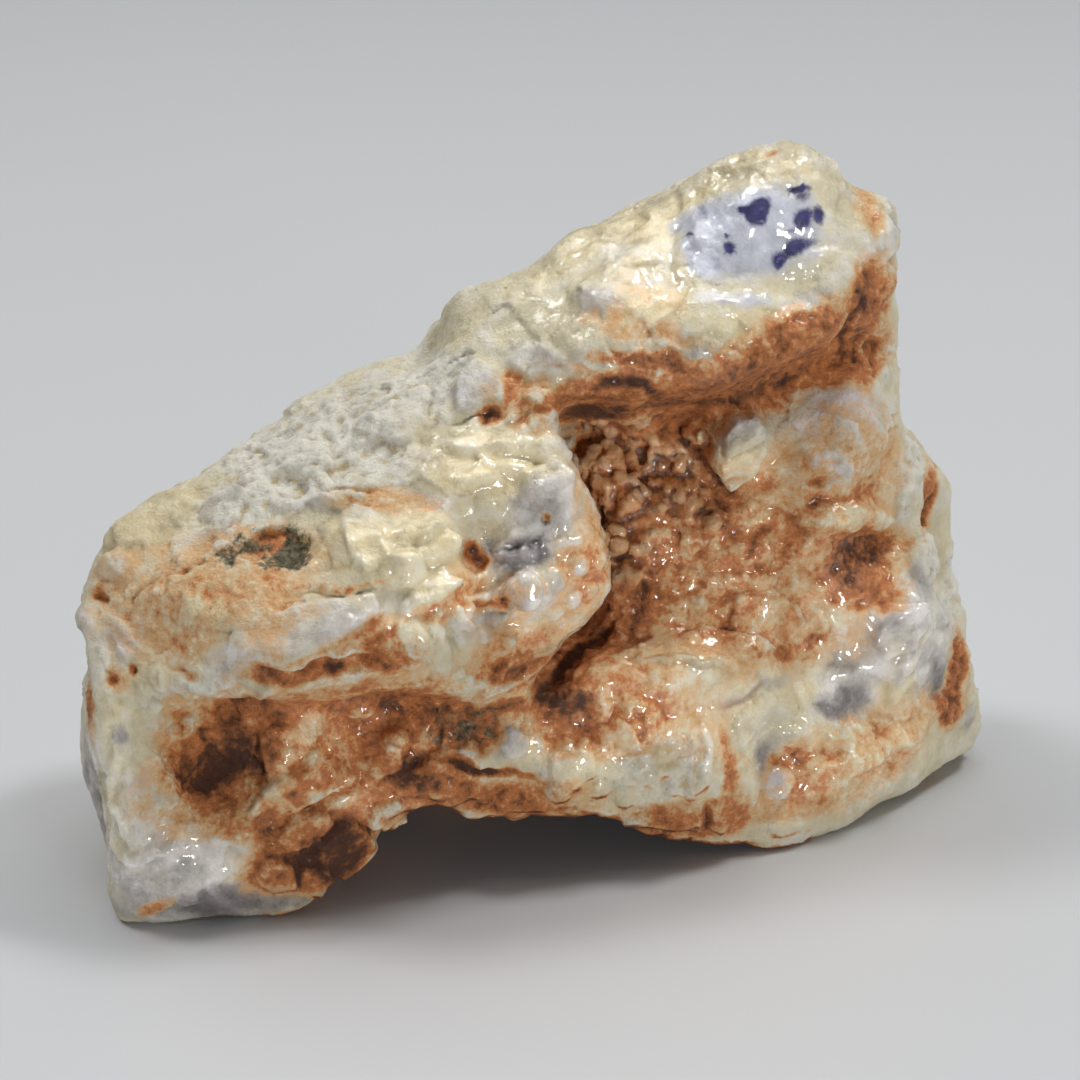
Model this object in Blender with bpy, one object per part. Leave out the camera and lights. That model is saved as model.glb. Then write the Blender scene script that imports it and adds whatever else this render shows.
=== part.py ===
"""A rough opal specimen: one solid stone, about as long as a hand is wide, standing on flat worn spots.

The stone is made as it broke and weathered: blocky chunks fused together, hollows and gaps cut out, then lumps
and dents raised and sunk, and its skin roughened. Metres, +Z up. +X runs along the stone's length, its hollowed
face looks towards -Y, and the origin is on the resting plane, under the middle of the stone.
"""

import random

import bmesh
import bpy
import numpy as np
from mathutils import Matrix, Vector, noise

MM = 0.001

# Driving sizes, in millimetres.
FUSE_GRAIN = 1.0  # mesh of the net that fuses the chunks
SKIN_GRAIN = 0.7  # mesh of the net that carries the lumps and the roughness
FACES = 7800  # triangles left on the finished stone

# Each chunk is the hull of its corners, in millimetres.
CHUNKS = {
    "core": [
        (-50, 6, -1), (-34, 25, -1), (-6, 31, -1), (48, 30, -1), (-50, 8, 10), (-44, 17, 15), (-46, 13, 36),
        (-30, 23, 36), (-20, 30, 20), (-6, 27, 50), (-14, 16, 55), (8, 28, 62), (33, 25, 71), (38, 31, 57),
        (44, 33, 38), (20, 36, 28), (40, 10, 62), (-30, 6, 44), (-8, 8, 55), (-30, 0, 6), (44, 12, 4),
        (-10, -4, 14),
    ],
    "left shoulder": [
        (-50, -14, 41), (-42, -6, 44), (-33, 0, 48.5), (-22, 4, 56), (-13, 8, 58.5), (-7, -2, 60.5),
        (-2, -8, 57.5), (1, -10.5, 55), (4.5, -13, 48), (-12, -17, 45), (8.5, -14.5, 35), (-26, -27, 38),
        (-37, -26, 36), (-51, -22, 31), (-38, -28.5, 28.5), (-26, -28.5, 31.5), (-13, -25, 33.5),
        (-2, -19, 24), (-53, -10, 28), (-46, 12, 35), (-46, 12, 18), (-5, 16, 20), (-5, 20, 50),
    ],
    "left flank": [
        (-50.5, -21.5, 30), (-50.5, -20, 22), (-48, -26, 26), (-44, -26, 28), (-53.5, -8, 15),
        (-50, -22, 14), (-40, -10, 25), (-40, -18, 14), (-52.5, 2, 24), (-50, 10, 28), (-49, 10, 14),
        (-50, 8, 36), (-36, 14, 24), (-47, -28.5, 19), (-43.5, -27.5, 26.5), (-42, -27.5, 15),
    ],
    "left toe": [
        (-48, -28, -1), (-38, -26.5, -1), (-27, -26, -0.5), (-25, -26, 9), (-32, -28, 8), (-46.5, -29, 20),
        (-43, -28, 21), (-53.5, -8, 14), (-50, 6, -1), (-32, 12, -1), (-19, -22, 7), (-16, 0, 8),
        (-48, 10, 20), (-30, 10, 20),
    ],
    "left waist": [
        (-44, -22, 26), (-38, -21.5, 12), (-21, -22.5, 9), (-12, -20, 11.5), (-5, -17, 20),
        (-12, -20.5, 28), (-28, -21.5, 30), (-40, 14, 6), (-5, 18, 6), (-5, 18, 30),
    ],
    "cream rib": [
        (-32, -25.5, 7), (-24, -24.5, 8), (-31, -24, 22), (-26, -23.5, 24), (-20, -22.5, 14),
        (-40, -25, 22), (-41, -26.5, 15), (-34, 0, 8), (-20, 0, 8), (-28, 0, 24), (-40, 0, 20),
    ],
    "bridge": [
        (-16, -21, 10), (-10, -19.5, 11.5), (-3, -17, 6), (-12, -21, 20), (-1, -17, 24), (-16, 10, 12),
        (2, 10, 8), (2, 6, 30),
    ],
    "belly": [
        (5.5, -14, 26), (10, -12.5, 27), (25.4, -9, 25.5), (1, -16, 20), (4.5, -16.5, 14), (-4, -17, 5),
        (8, -14, 3.5), (19, -11.5, 1.5), (19, -14, 12), (28, -10, 8), (30.5, -8, -1), (36, -4, 16),
        (30, 20, 2), (-5, 20, 6), (-5, 20, 28), (30, 20, 28),
    ],
    "right face": [
        (12, 2, 33), (18.5, -3.5, 34.7), (8, -8, 28.5), (25, -6.5, 27), (36.6, 1, 32), (43, 5, 31),
        (34.8, 1, 47), (30, 4.5, 51), (42, 7.5, 46), (45, 8, 40), (47, 8, 30), (43, 3, 20), (36, -3, 17),
        (28, 9, 59), (39, 11, 58), (41, 11, 64), (3, 6.5, 38), (5, 5, 46), (7, 4.5, 51), (16, 3.5, 51),
        (0, 22, 30), (4, 14, 56), (36, 22, 66), (46, 24, 16), (2, 24, 58),
    ],
    "right toe": [
        (36.6, -4, 17), (31, -7.5, -1), (43, 0.5, 3.5), (54.5, 14, 2.5), (55.5, 14.5, 8), (54, 12, 11),
        (52, 12, 18), (47, 7.5, 30), (44, 4, 22), (31, -8, 8), (52, 28, -1), (40, 28, 20),
    ],
    "back slab": [
        (47, 12, 41), (51, 15, 37.5), (53, 17, 23), (55, 17, 8), (48, 31, -1), (45, 32, 37), (42, 28, 45),
        (40, 20, 48), (20, 16, 4), (30, 14, 44), (10, 30, 10),
    ],
    "head": [
        (28, 7, 81.5), (20, 8, 80), (33.5, 9, 78.5), (41, 14, 72), (12, 7, 74.5), (2, 5, 68.5),
        (-10.5, 6, 63), (-15, 8, 58), (-8, -3, 59), (1, -11.5, 56), (11, -9.5, 58), (21, -9, 58),
        (31, -5, 60.5), (40.5, 3, 65), (37, 2, 72), (24, -2, 75), (33, 24, 72), (8, 26, 66), (-12, 20, 56),
        (38, 22, 60), (-4, 14, 52),
    ],
    "ledge underside": [
        (1, -9, 55), (11, -7.5, 57), (21, -7, 57.5), (30, -3, 60), (40, 4, 63.5), (4, 5, 47), (14, 5, 49),
        (24, 6, 51.5), (33, 9, 54.5), (41, 12, 58), (4, 16, 46), (36, 20, 58),
    ],
    "tooth": [
        (20, -2, 52), (24.5, -3, 53.5), (27, -1, 49.5), (23.5, -5, 45.5), (19, -2.5, 46), (22, 8, 54),
        (28, 8, 46), (17, 8, 44),
    ],
}

# Each cut is the hull of its corners, in millimetres, taken out of the fused chunks.
CUTS = {
    "arch": [
        (-24, -32, -3), (-25, -5, -3), (-17, 12, -3), (22, 14, -3), (25, -9, -3), (20, -24, -3),
        (-15, -30, 8), (-4, -30, 7), (5, -30, 7.5), (8.5, -30, 4.5), (-11, 4, 8), (12, -4, 4), (16, -24, 1),
    ],
    "high arch": [
        (-24, -32, -3), (-25, -5, -3), (-20.5, -32, 7), (-16.5, -32, 12), (-9.5, -32, 12.5), (-6.5, -32, 9),
        (-4, -28, -3), (-12, 0, 9), (-15, 6, -3), (-5, 0, -3),
    ],
    "back arch": [
        (-7, 44, -3), (27, 44, -3), (0, 44, 3.5), (20, 44, 4.5), (-3, 15, -3), (22, 11, -3), (10, 13, 2.5),
    ],
    "left gap": [
        (-62, -9, -3), (-62, 6, -3), (-62, -4, 4), (-62, 1, 3), (-36, -4, -3), (-36, 3, -3), (-38, -1, 1.5),
    ],
    "right gap": [
        (62, 14, -3), (62, 25, -3), (62, 18, 3), (44, 16, -3), (44, 21, -3), (45, 18, 1),
    ],
    "left break": [
        (-62, 16, -4), (-58, 42, -4), (-12, 46, -4), (-58, 22, 52), (-18, 40, 50), (-12, 29, -4),
        (-24, 23.5, 42), (-46, 11.5, 30), (-48, 8, 8),
    ],
    "right break": [
        (60, 16, 46), (62, 44, 20), (6, 52, 48), (24, 36, 84), (50, 20, 84), (34, 25, 58), (20, 31, 52),
        (45, 22, 44), (44, 30, 32),
    ],
}

# A lump (or, with a negative height, a dent): its centre, its radii and its height, in millimetres.
LUMPS = {
    "crown": ((29, 3, 79), (9, 9, 5), 1.0),
    "crown notch": ((38.5, 9, 77), (3.5, 6, 3), -1.6),
    "crown step": ((15.5, 5, 77), (3, 7, 4), -1.2),
    "head knob": ((40, 13, 72), (5, 6, 4), 0.6),
    "window": ((25, -4.5, 70.5), (8.5, 6, 6), -1.6),
    "window sill": ((23, -8, 63), (13, 5, 4), 1.4),
    "head crease": ((14.5, -3, 69), (2.5, 7, 8), -1.6),
    "cheek": ((7, -4, 66), (7, 8, 6), 1.5),
    "blister": ((4, -7.5, 62.5), (3, 3, 3), 1.2),
    "temple": ((-5, 0, 62), (7, 7, 5), 1.2),
    "temple notch": ((-14, 4, 58.5), (4, 6, 4), -1.6),
    "upper bulge": ((36, 3, 48), (8, 6, 7), 2.0),
    "rust gash": ((39, 4, 35), (9, 5, 2.8), -2.6),
    "grey lobe": ((42, 3, 24), (8, 6, 8), 1.6),
    "lobe crease": ((31, -5, 23), (3, 5, 7), -1.8),
    "right dimple": ((28, -9, 12.5), (3.5, 4, 4.5), -2.6),
    "right toe bulge": ((38, -2, 8), (9, 5, 5), 1.2),
    "face hollow": ((24, -4, 31), (8, 5, 6), -1.5),
    "belly brow": ((14, -12, 24), (10, 5, 3), 1.4),
    "belly bulge": ((19, -13, 12), (9, 6, 6), 1.2),
    "left belly bulge": ((3, -16, 12), (6, 5, 6), 1.2),
    "cave": ((5.5, 3, 49.5), (4, 6, 3), -2.4),
    "grey cheek": ((3, -15, 42), (6, 6, 7), 1.4),
    "pearl": ((-1.6, -18.5, 37), (2.8, 2.8, 2.8), 2.2),
    "eye pit": ((-6, -19, 42), (3, 3, 3.5), -2.6),
    "brow drape": ((-14, -22, 38), (7, 6, 7), 1.8),
    "moss pit": ((-28, -18, 41), (5, 5, 3), -1.6),
    "shoulder crest": ((-36, -20, 40), (10, 8, 4), 1.0),
    "shoulder dip": ((-40, -26, 33), (6, 5, 4), -1.2),
    "grey shelf": ((-24, -28, 33), (12, 5, 4), 1.4),
    "dark hollow": ((-37, -26, 18), (5, 6, 7), -3.2),
    "pale rib": ((-28, -25, 17), (4, 5, 8), 1.0),
    "waist hollow": ((-17, -21, 23), (7, 5, 5), -2.4),
    "root knob": ((-8, -20, 17), (5, 4, 4), 1.6),
    "left fold": ((-45, -27, 24), (3, 4, 6), -1.4),
    "rust pit": ((-6, -9, 53.5), (2, 2, 2), -1.8),
    "back knob": ((6, 32, 40), (13, 7, 10), 2.2),
    "back hollow": ((-6, 31, 16), (12, 7, 9), -2.6),
    "back rib": ((-18, 26, 50), (14, 7, 5), 1.8),
    "back foot bulge": ((32, 32, 12), (12, 6, 8), 1.8),
    "top saddle": ((0, 18, 66), (10, 9, 5), -1.8),
    "left end swell": ((-52, 2, 26), (5, 9, 8), 1.0),
    "right end dent": ((52, 22, 24), (5, 8, 9), -1.6),
}

# The round grains that line the hollow under the ledge, in millimetres.
GRAINS = 60
GRAIN_RADII = (1.4, 2.4)
GRAIN_RISE = 0.8  # height of a grain, in radii
HOLLOW = ((9, 3, 44), (11, 9, 13))  # centre and radii of the lined part

# The roughness of the skin: spacing of its bumps and their height, in millimetres.
ROUGHNESS = ((14, 0.9), (6, 0.6), (3.4, 0.3))

CREAM = (0.6, 0.5, 0.38)  # colour of the stone, red, green and blue


def add_hull(bm, corners):
    """Adds the hull of some corners to a mesh."""
    made = [bm.verts.new(Vector(corner) * MM) for corner in corners]
    result = bmesh.ops.convex_hull(bm, input=made)
    inside = [item for item in result["geom_interior"] if isinstance(item, bmesh.types.BMVert)]
    bmesh.ops.delete(bm, geom=inside, context="VERTS")


def hulls(name, corner_sets):
    """One object that holds a closed hull for each set of corners."""
    bm = bmesh.new()
    for corners in corner_sets:
        add_hull(bm, corners)
    bmesh.ops.recalc_face_normals(bm, faces=bm.faces)
    mesh = bpy.data.meshes.new(name)
    bm.to_mesh(mesh)
    bm.free()
    made = bpy.data.objects.new(name, mesh)
    bpy.context.scene.collection.objects.link(made)
    return made


def finish_with(stone, kind, **settings):
    """Adds one modifier to the stone and applies it at once."""
    modifier = stone.modifiers.new(kind.title(), kind)
    for name, value in settings.items():
        setattr(modifier, name, value)
    graph = bpy.context.evaluated_depsgraph_get()
    made = bpy.data.meshes.new_from_object(stone.evaluated_get(graph))
    stone.modifiers.clear()
    old, stone.data = stone.data, made
    bpy.data.meshes.remove(old)


def read(mesh, what):
    """The points ("co") or the normals ("normal") of a mesh's vertices, one row each."""
    values = np.empty(len(mesh.vertices) * 3, np.float32)
    mesh.vertices.foreach_get(what, values)
    return values.reshape(-1, 3).astype(float)


def raise_lumps(stone):
    """Moves the surface in or out along its normal under each lump and dent."""
    points = read(stone.data, "co") / MM
    normals = read(stone.data, "normal")
    height = np.zeros(len(points))
    for centre, radii, rise in LUMPS.values():
        away = (((points - centre) / radii) ** 2).sum(axis=1)
        height += rise * np.clip(1 - away / 2.25, 0, 1) ** 2
    move(stone, points, normals, height)


def line_hollow(stone):
    """Grows round grains on the skin of the hollow, at places picked at random."""
    points = read(stone.data, "co") / MM
    normals = read(stone.data, "normal")
    centre, radii = HOLLOW
    inside = np.flatnonzero((((points - centre) / radii) ** 2).sum(axis=1) < 1)
    dice = random.Random(8)
    height = np.zeros(len(points))
    for seed in dice.sample(list(inside), GRAINS):
        radius = dice.uniform(*GRAIN_RADII)
        away = np.linalg.norm(points - points[seed], axis=1)
        dome = GRAIN_RISE * radius * np.sqrt(np.clip(1 - (away / radius) ** 2, 0, 1))
        height = np.maximum(height, dome)
    move(stone, points, normals, height)


def roughen(stone):
    """Gives the skin bumps of several sizes."""
    points = read(stone.data, "co") / MM
    normals = read(stone.data, "normal")
    height = np.zeros(len(points))
    for layer, (spacing, rise) in enumerate(ROUGHNESS):
        shift = Vector((17.0, 5.0, 31.0)) * layer
        height += rise * np.array([noise.noise(Vector(p) / spacing + shift) for p in points])
    move(stone, points, normals, height)


def move(stone, points, normals, height):
    """Writes the stone's points back, each moved along its normal, in millimetres."""
    moved = (points + normals * height[:, None]) * MM
    stone.data.vertices.foreach_set("co", moved.astype(np.float32).ravel())
    stone.data.update()


def wear_flat(stone):
    """Cuts the stone off flat where it rests, and puts that plane at z = 0."""
    bm = bmesh.new()
    bm.from_mesh(stone.data)
    everything = bm.verts[:] + bm.edges[:] + bm.faces[:]
    bmesh.ops.bisect_plane(
        bm, geom=everything, plane_co=(0, 0, 0), plane_no=(0, 0, 1), clear_inner=True, dist=1e-7
    )
    rim = [edge for edge in bm.edges if edge.is_boundary]
    bmesh.ops.contextual_create(bm, geom=rim)
    open_rims = [edge for edge in bm.edges if edge.is_boundary]
    if open_rims:
        bmesh.ops.holes_fill(bm, edges=open_rims, sides=0)
    bmesh.ops.triangulate(bm, faces=[face for face in bm.faces if len(face.verts) > 3])
    bmesh.ops.recalc_face_normals(bm, faces=bm.faces)
    bm.to_mesh(stone.data)
    bm.free()


def give_finish(stone):
    """Gives the stone its own material: wet, milky, cream-coloured opal."""
    finish = bpy.data.materials.new("cream_opal")
    finish.use_nodes = True
    skin = finish.node_tree.nodes["Principled BSDF"]
    skin.inputs["Base Color"].default_value = (*CREAM, 1)
    skin.inputs["Roughness"].default_value = 0.4
    skin.inputs["Metallic"].default_value = 0
    stone.data.materials.append(finish)


def drop_chips(stone):
    """Removes the crumbs that the cuts left loose, so that one solid stone is left."""
    bm = bmesh.new()
    bm.from_mesh(stone.data)
    bodies = []
    unseen = set(bm.verts)
    while unseen:
        body = {unseen.pop()}
        edge_of_body = list(body)
        while edge_of_body:
            vert = edge_of_body.pop()
            beyond = {edge.other_vert(vert) for edge in vert.link_edges} - body
            body |= beyond
            edge_of_body.extend(beyond)
        unseen -= body
        bodies.append(body)
    for chip in sorted(bodies, key=len)[:-1]:
        bmesh.ops.delete(bm, geom=list(chip), context="VERTS")
    bm.to_mesh(stone.data)
    bm.free()


def centre_on_origin(stone):
    """Moves the stone sideways until the middle of its length and depth is at the origin."""
    points = read(stone.data, "co")
    middle = (points.min(axis=0) + points.max(axis=0)) / 2
    middle[2] = 0
    stone.data.transform(Matrix.Translation(-Vector(middle)))


def main():
    for old in list(bpy.data.objects):
        bpy.data.objects.remove(old)
    stone = hulls("opal_stone", CHUNKS.values())
    finish_with(stone, "REMESH", mode="VOXEL", voxel_size=FUSE_GRAIN * MM)
    for name, corners in CUTS.items():
        cutter = hulls(name, [corners])
        finish_with(stone, "BOOLEAN", operation="DIFFERENCE", solver="EXACT", object=cutter)
        bpy.data.objects.remove(cutter)
    finish_with(stone, "REMESH", mode="VOXEL", voxel_size=SKIN_GRAIN * MM)
    finish_with(stone, "SMOOTH", factor=0.5, iterations=6)
    raise_lumps(stone)
    roughen(stone)
    line_hollow(stone)
    finish_with(stone, "REMESH", mode="VOXEL", voxel_size=SKIN_GRAIN * MM)
    finish_with(stone, "DECIMATE", ratio=FACES / (2 * len(stone.data.polygons)))
    wear_flat(stone)
    drop_chips(stone)
    centre_on_origin(stone)
    give_finish(stone)


main()
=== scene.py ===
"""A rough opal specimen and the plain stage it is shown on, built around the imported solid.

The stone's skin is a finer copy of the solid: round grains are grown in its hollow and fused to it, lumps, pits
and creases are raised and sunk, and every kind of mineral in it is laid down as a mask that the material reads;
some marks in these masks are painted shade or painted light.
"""

import math
import random

import bmesh
import bpy
import numpy as np
from bpy.props import FloatProperty, FloatVectorProperty, IntProperty, PointerProperty
from mathutils import Matrix, Vector, noise
from mathutils.bvhtree import BVHTree


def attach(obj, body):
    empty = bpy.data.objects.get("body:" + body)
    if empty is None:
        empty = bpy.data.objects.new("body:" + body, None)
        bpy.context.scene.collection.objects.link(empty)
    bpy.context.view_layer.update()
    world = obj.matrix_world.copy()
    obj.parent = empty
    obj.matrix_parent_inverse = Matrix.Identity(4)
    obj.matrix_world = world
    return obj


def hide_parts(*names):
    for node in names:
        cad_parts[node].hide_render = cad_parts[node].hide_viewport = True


bl_info = {
    "name": "Rough Opal Specimen",
    "version": (1, 0, 0),
    "blender": (4, 5, 0),
    "location": "3D View > Sidebar > Opal",
    "description": "Builds a rough opal specimen with rust, milk and violet in it, and its stage",
    "category": "Add Mesh",
}

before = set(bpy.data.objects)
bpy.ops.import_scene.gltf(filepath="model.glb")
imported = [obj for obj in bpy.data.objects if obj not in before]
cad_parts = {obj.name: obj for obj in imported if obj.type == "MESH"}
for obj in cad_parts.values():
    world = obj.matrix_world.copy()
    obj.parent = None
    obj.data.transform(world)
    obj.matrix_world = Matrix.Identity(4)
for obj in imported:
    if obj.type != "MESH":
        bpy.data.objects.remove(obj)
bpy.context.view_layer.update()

MM = 0.001

# How the stone is looked at. Places on its face are given as pixels of this square picture.
PICTURE = 1080
LENS = 3086  # focal length, in pixels
TILT = math.radians(21)  # how far down the camera looks
AWAY = 0.36
AIM = Vector((-0.0005, -0.0029, 0.036))
AHEAD = Vector((0, math.cos(TILT), -math.sin(TILT)))
RIGHT = Vector((1, 0, 0))
UP = RIGHT.cross(AHEAD)
EYE = AIM - AHEAD * AWAY

# Relief. Each mark is its place in the picture and its two radii in pixels, how far its long side is turned
# anticlockwise in degrees, and how far it is raised or, below zero, sunk, in millimetres.
RELIEF = {
    "window lip": (785, 176, 62, 14, -4, 0.5),
    "wet lip": (812, 255, 30, 9, 22, 0.5),
    "sill": (735, 305, 48, 14, 6, 0.5),
    "window left rim": (688, 245, 10, 44, -6, 0.5),
    "crown stain": (765, 160, 20, 8, 10, 0.4),
    "head facet": (885, 225, 12, 32, 0, 0.7),
    "head hip": (850, 235, 16, 46, 6, -0.5),
    "blister": (592, 300, 24, 17, -20, 1.1),
    "blister foot": (575, 328, 26, 10, -10, 0.7),
    "cheek": (640, 260, 40, 18, 20, 0.4),
    "cheek low": (640, 300, 34, 14, 0, 0.3),
    "brow": (560, 345, 40, 20, -20, 0.7),
    "head end": (500, 310, 46, 12, 20, 0.6),
    "lip": (610, 372, 50, 8, 14, 0.3),
    "ledge step": (700, 340, 60, 7, 6, -0.3),
    "ledge crease": (848, 335, 6, 42, -20, -1.0),
    "ledge rib": (868, 335, 6, 44, -14, 0.8),
    "ledge crease 2": (882, 320, 5, 36, -8, -0.9),
    "ledge slab": (790, 350, 55, 12, 28, 0.3),
    "tooth notch": (716, 420, 16, 10, 40, -0.7),
    "face bulge": (860, 440, 60, 46, 0, 0.6),
    "face eye": (819, 480, 14, 7, 0, -0.6),
    "face eyelid": (830, 458, 26, 10, -10, 0.5),
    "face band": (850, 515, 58, 14, 6, 0.8),
    "gash": (872, 553, 46, 9, 4, -0.2),
    "gash 2": (845, 575, 30, 6, -8, -0.2),
    "gash lump": (860, 590, 30, 10, 5, 0.3),
    "edge groove": (928, 505, 6, 46, -6, -0.45),
    "edge rib": (912, 470, 8, 60, -6, 0.6),
    "lobe ridge": (905, 602, 36, 12, 36, 0.9),
    "lobe crease": (850, 650, 12, 50, -38, -0.7),
    "lobe stripe": (903, 672, 16, 36, -16, 0.7),
    "lobe cup": (852, 702, 34, 22, 0, -0.8),
    "cup rim": (850, 730, 40, 6, 4, 0.7),
    "lobe right": (935, 690, 16, 24, 0, -0.5),
    "seam": (752, 690, 52, 6, 16, -0.35),
    "pit lintel": (785, 738, 20, 10, 20, 0.5),
    "right knob": (858, 757, 20, 12, 0, 0.6),
    "right knob 2": (820, 765, 16, 12, 0, 0.5),
    "right knob 3": (905, 740, 22, 10, 25, 0.5),
    "toe tip": (785, 828, 34, 12, 0, 0.6),
    "belly lip": (690, 660, 60, 6, -4, 0.5),
    "belly shelf": (640, 690, 50, 20, 0, 0.5),
    "belly hollow": (570, 730, 30, 22, -20, -0.8),
    "belly rib": (700, 765, 10, 46, -4, 0.7),
    "brick": (680, 822, 56, 12, 6, 0.5),
    "brick seam": (707, 815, 4, 20, 0, -0.7),
    "underside tooth": (515, 822, 18, 12, 0, 1.2),
    "underside notch": (588, 822, 12, 7, 0, -1.0),
    "base seam": (478, 766, 66, 6, -12, -0.8),
    "base fringe": (450, 790, 50, 10, -8, 0.7),
    "crumb patch": (462, 728, 46, 30, 8, -0.5),
    "root fold": (420, 750, 10, 34, -20, -0.8),
    "root knob": (395, 745, 16, 20, 0, 0.7),
    "root knob 2": (360, 705, 22, 14, 20, 0.7),
    "root groove": (330, 800, 40, 7, 30, -0.9),
    "pale rib": (284, 780, 12, 48, -48, 0.9),
    "toe oval": (232, 830, 22, 16, 0, 0.5),
    "toe shelf": (150, 850, 50, 6, 4, 0.7),
    "toe edge": (121, 800, 5, 60, 2, 0.8),
    "end flute": (98, 790, 10, 60, 0, -0.5),
    "dark hollow": (218, 760, 40, 60, -34, -1.0),
    "dark hollow top": (240, 705, 34, 12, 16, -0.6),
    "knot hole": (163, 676, 4, 4, 0, -0.6),
    "pinhole": (133, 670, 4, 6, 0, -0.9),
    "pinhole 2": (113, 680, 7, 7, 0, -0.7),
    "end knob": (118, 565, 15, 16, 0, 1.0),
    "end knob 2": (86, 620, 10, 20, 0, 0.9),
    "end notch": (100, 596, 12, 6, -30, -0.9),
    "end fold": (110, 655, 6, 20, 20, -0.7),
    "brown oval": (190, 672, 26, 8, -12, -0.5),
    "shelf crease": (320, 672, 76, 6, 6, -0.7),
    "shelf crease 2": (370, 655, 20, 12, 50, -1.0),
    "shelf": (320, 640, 80, 18, 8, 0.8),
    "shelf lip": (270, 690, 30, 6, 30, 0.6),
    "slope crease": (330, 592, 60, 5, 6, -0.5),
    "slope fold": (205, 560, 60, 6, 14, -0.5),
    "moss pit 2": (255, 550, 12, 8, 0, -0.7),
    "white ridge": (230, 497, 50, 7, 6, 0.8),
    "slope lump": (280, 500, 30, 14, -10, 0.7),
    "slope lump 2": (345, 500, 40, 8, -4, 0.6),
    "bean": (345, 540, 30, 12, -4, 0.9),
    "bean 2": (425, 530, 26, 14, 0, 1.0),
    "bean 3": (405, 560, 22, 16, 0, 1.1),
    "bean 4": (370, 570, 20, 14, -20, 0.8),
    "bean 5": (452, 545, 16, 12, 0, 0.7),
    "drape": (425, 600, 34, 14, 20, 0.9),
    "drape 2": (428, 640, 26, 22, 0, 0.7),
    "drape edge": (452, 640, 6, 26, 6, -0.9),
    "yellow lump": (462, 445, 22, 12, 6, 0.9),
    "yellow lump 2": (505, 446, 22, 9, 0, 0.8),
    "yellow lump 3": (470, 478, 22, 10, 6, 0.7),
    "yellow lump 4": (520, 470, 22, 10, -10, 0.8),
    "yellow lump 5": (490, 510, 26, 10, 10, 0.6),
    "yellow lump 6": (548, 450, 14, 18, 0, 0.6),
    "scarp": (430, 425, 5, 40, -8, -0.8),
    "scarp 2": (470, 410, 40, 5, 8, -0.7),
    "rust pit": (492, 418, 16, 9, 10, -0.8),
    "corner knob": (540, 400, 14, 10, 0, 0.7),
    "grey lobe": (552, 500, 18, 30, -12, 0.6),
    "grey pit": (545, 522, 5, 6, 0, -0.8),
    "grey pit 2": (513, 548, 9, 9, 0, -1.0),
    "grey pit 3": (535, 546, 6, 6, 0, -0.6),
    "eye": (474, 557, 14, 13, -30, -0.5),
    "eye floor": (480, 585, 20, 8, 10, -0.6),
    "flute cap": (566, 545, 24, 6, 20, 0.7),
    "striated": (520, 655, 60, 5, 14, 0.5),
    "striated 2": (505, 675, 50, 5, 12, 0.5),
    "valley": (585, 650, 60, 6, 44, -1.1),
    "hollow root": (640, 610, 8, 50, -26, -0.8),
}

# Forms with a crisp outline, in the same terms. Later ones stand on earlier ones.
BLOCKS = {
    "window pane": (757, 236, 62, 42, 15, -0.35),
    "bulge": (540, 362, 32, 24, -14, 1.0),
    "cool lump": (482, 392, 30, 20, 10, 0.7),
    "rim": (547, 440, 20, 36, 10, 0.8),
    "grey lobe": (548, 486, 24, 24, -10, 0.9),
    "grey lobe low": (524, 546, 30, 18, 10, 0.6),
    "recess": (492, 604, 44, 34, 14, -0.9),
    "drape": (372, 548, 26, 20, -10, 0.8),
    "drape tip": (402, 572, 24, 18, 14, 1.0),
    "drape drip": (436, 545, 20, 22, 0, 0.9),
    "drape drip 2": (430, 590, 26, 13, 16, 0.7),
    "drape drip 3": (362, 520, 20, 13, 0, 0.6),
    "olive fold": (412, 640, 14, 34, 4, 0.6),
    "olive fold 2": (438, 650, 12, 30, -4, 0.4),
    "white hollow": (288, 486, 22, 17, -20, -1.0),
    "moss bed": (268, 550, 50, 17, 4, -0.8),
    "pink ridge": (338, 480, 34, 7, -6, 0.6),
    "grey layer": (340, 503, 36, 11, -6, 0.5),
    "chalk step": (330, 445, 60, 22, 20, 0.5),
    "chalk step 2": (400, 410, 44, 20, 16, 0.5),
    "olive slab": (150, 520, 46, 28, 32, 0.5),
    "shelf under": (300, 676, 90, 10, 6, -0.5),
    "knot bed": (170, 700, 30, 40, 30, 0.6),
    "ochre fold": (272, 755, 20, 26, 0, 0.6),
    "face knob": (828, 470, 25, 17, -6, 0.3),
    "face block": (850, 514, 58, 16, 5, 0.7),
    "chalk edge": (925, 560, 22, 24, 30, 0.9),
    "lobe block": (895, 635, 46, 40, 40, 0.6),
    "lobe stripe": (903, 672, 14, 34, -16, 0.5),
    "rust edge": (957, 672, 10, 40, -6, -0.35),
    "face fold": (715, 600, 60, 20, 24, 0.5),
    "face fold 2": (770, 560, 40, 22, 30, 0.5),
    "face dip": (745, 540, 26, 12, 20, -0.5),
    "wet cup": (570, 728, 32, 26, -20, -0.6),
    "crumb bed": (460, 730, 44, 30, 8, -0.6),
    "toe knob": (862, 752, 34, 20, 10, 0.6),
    "toe knob 2": (910, 735, 30, 16, 30, 0.6),
}

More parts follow.
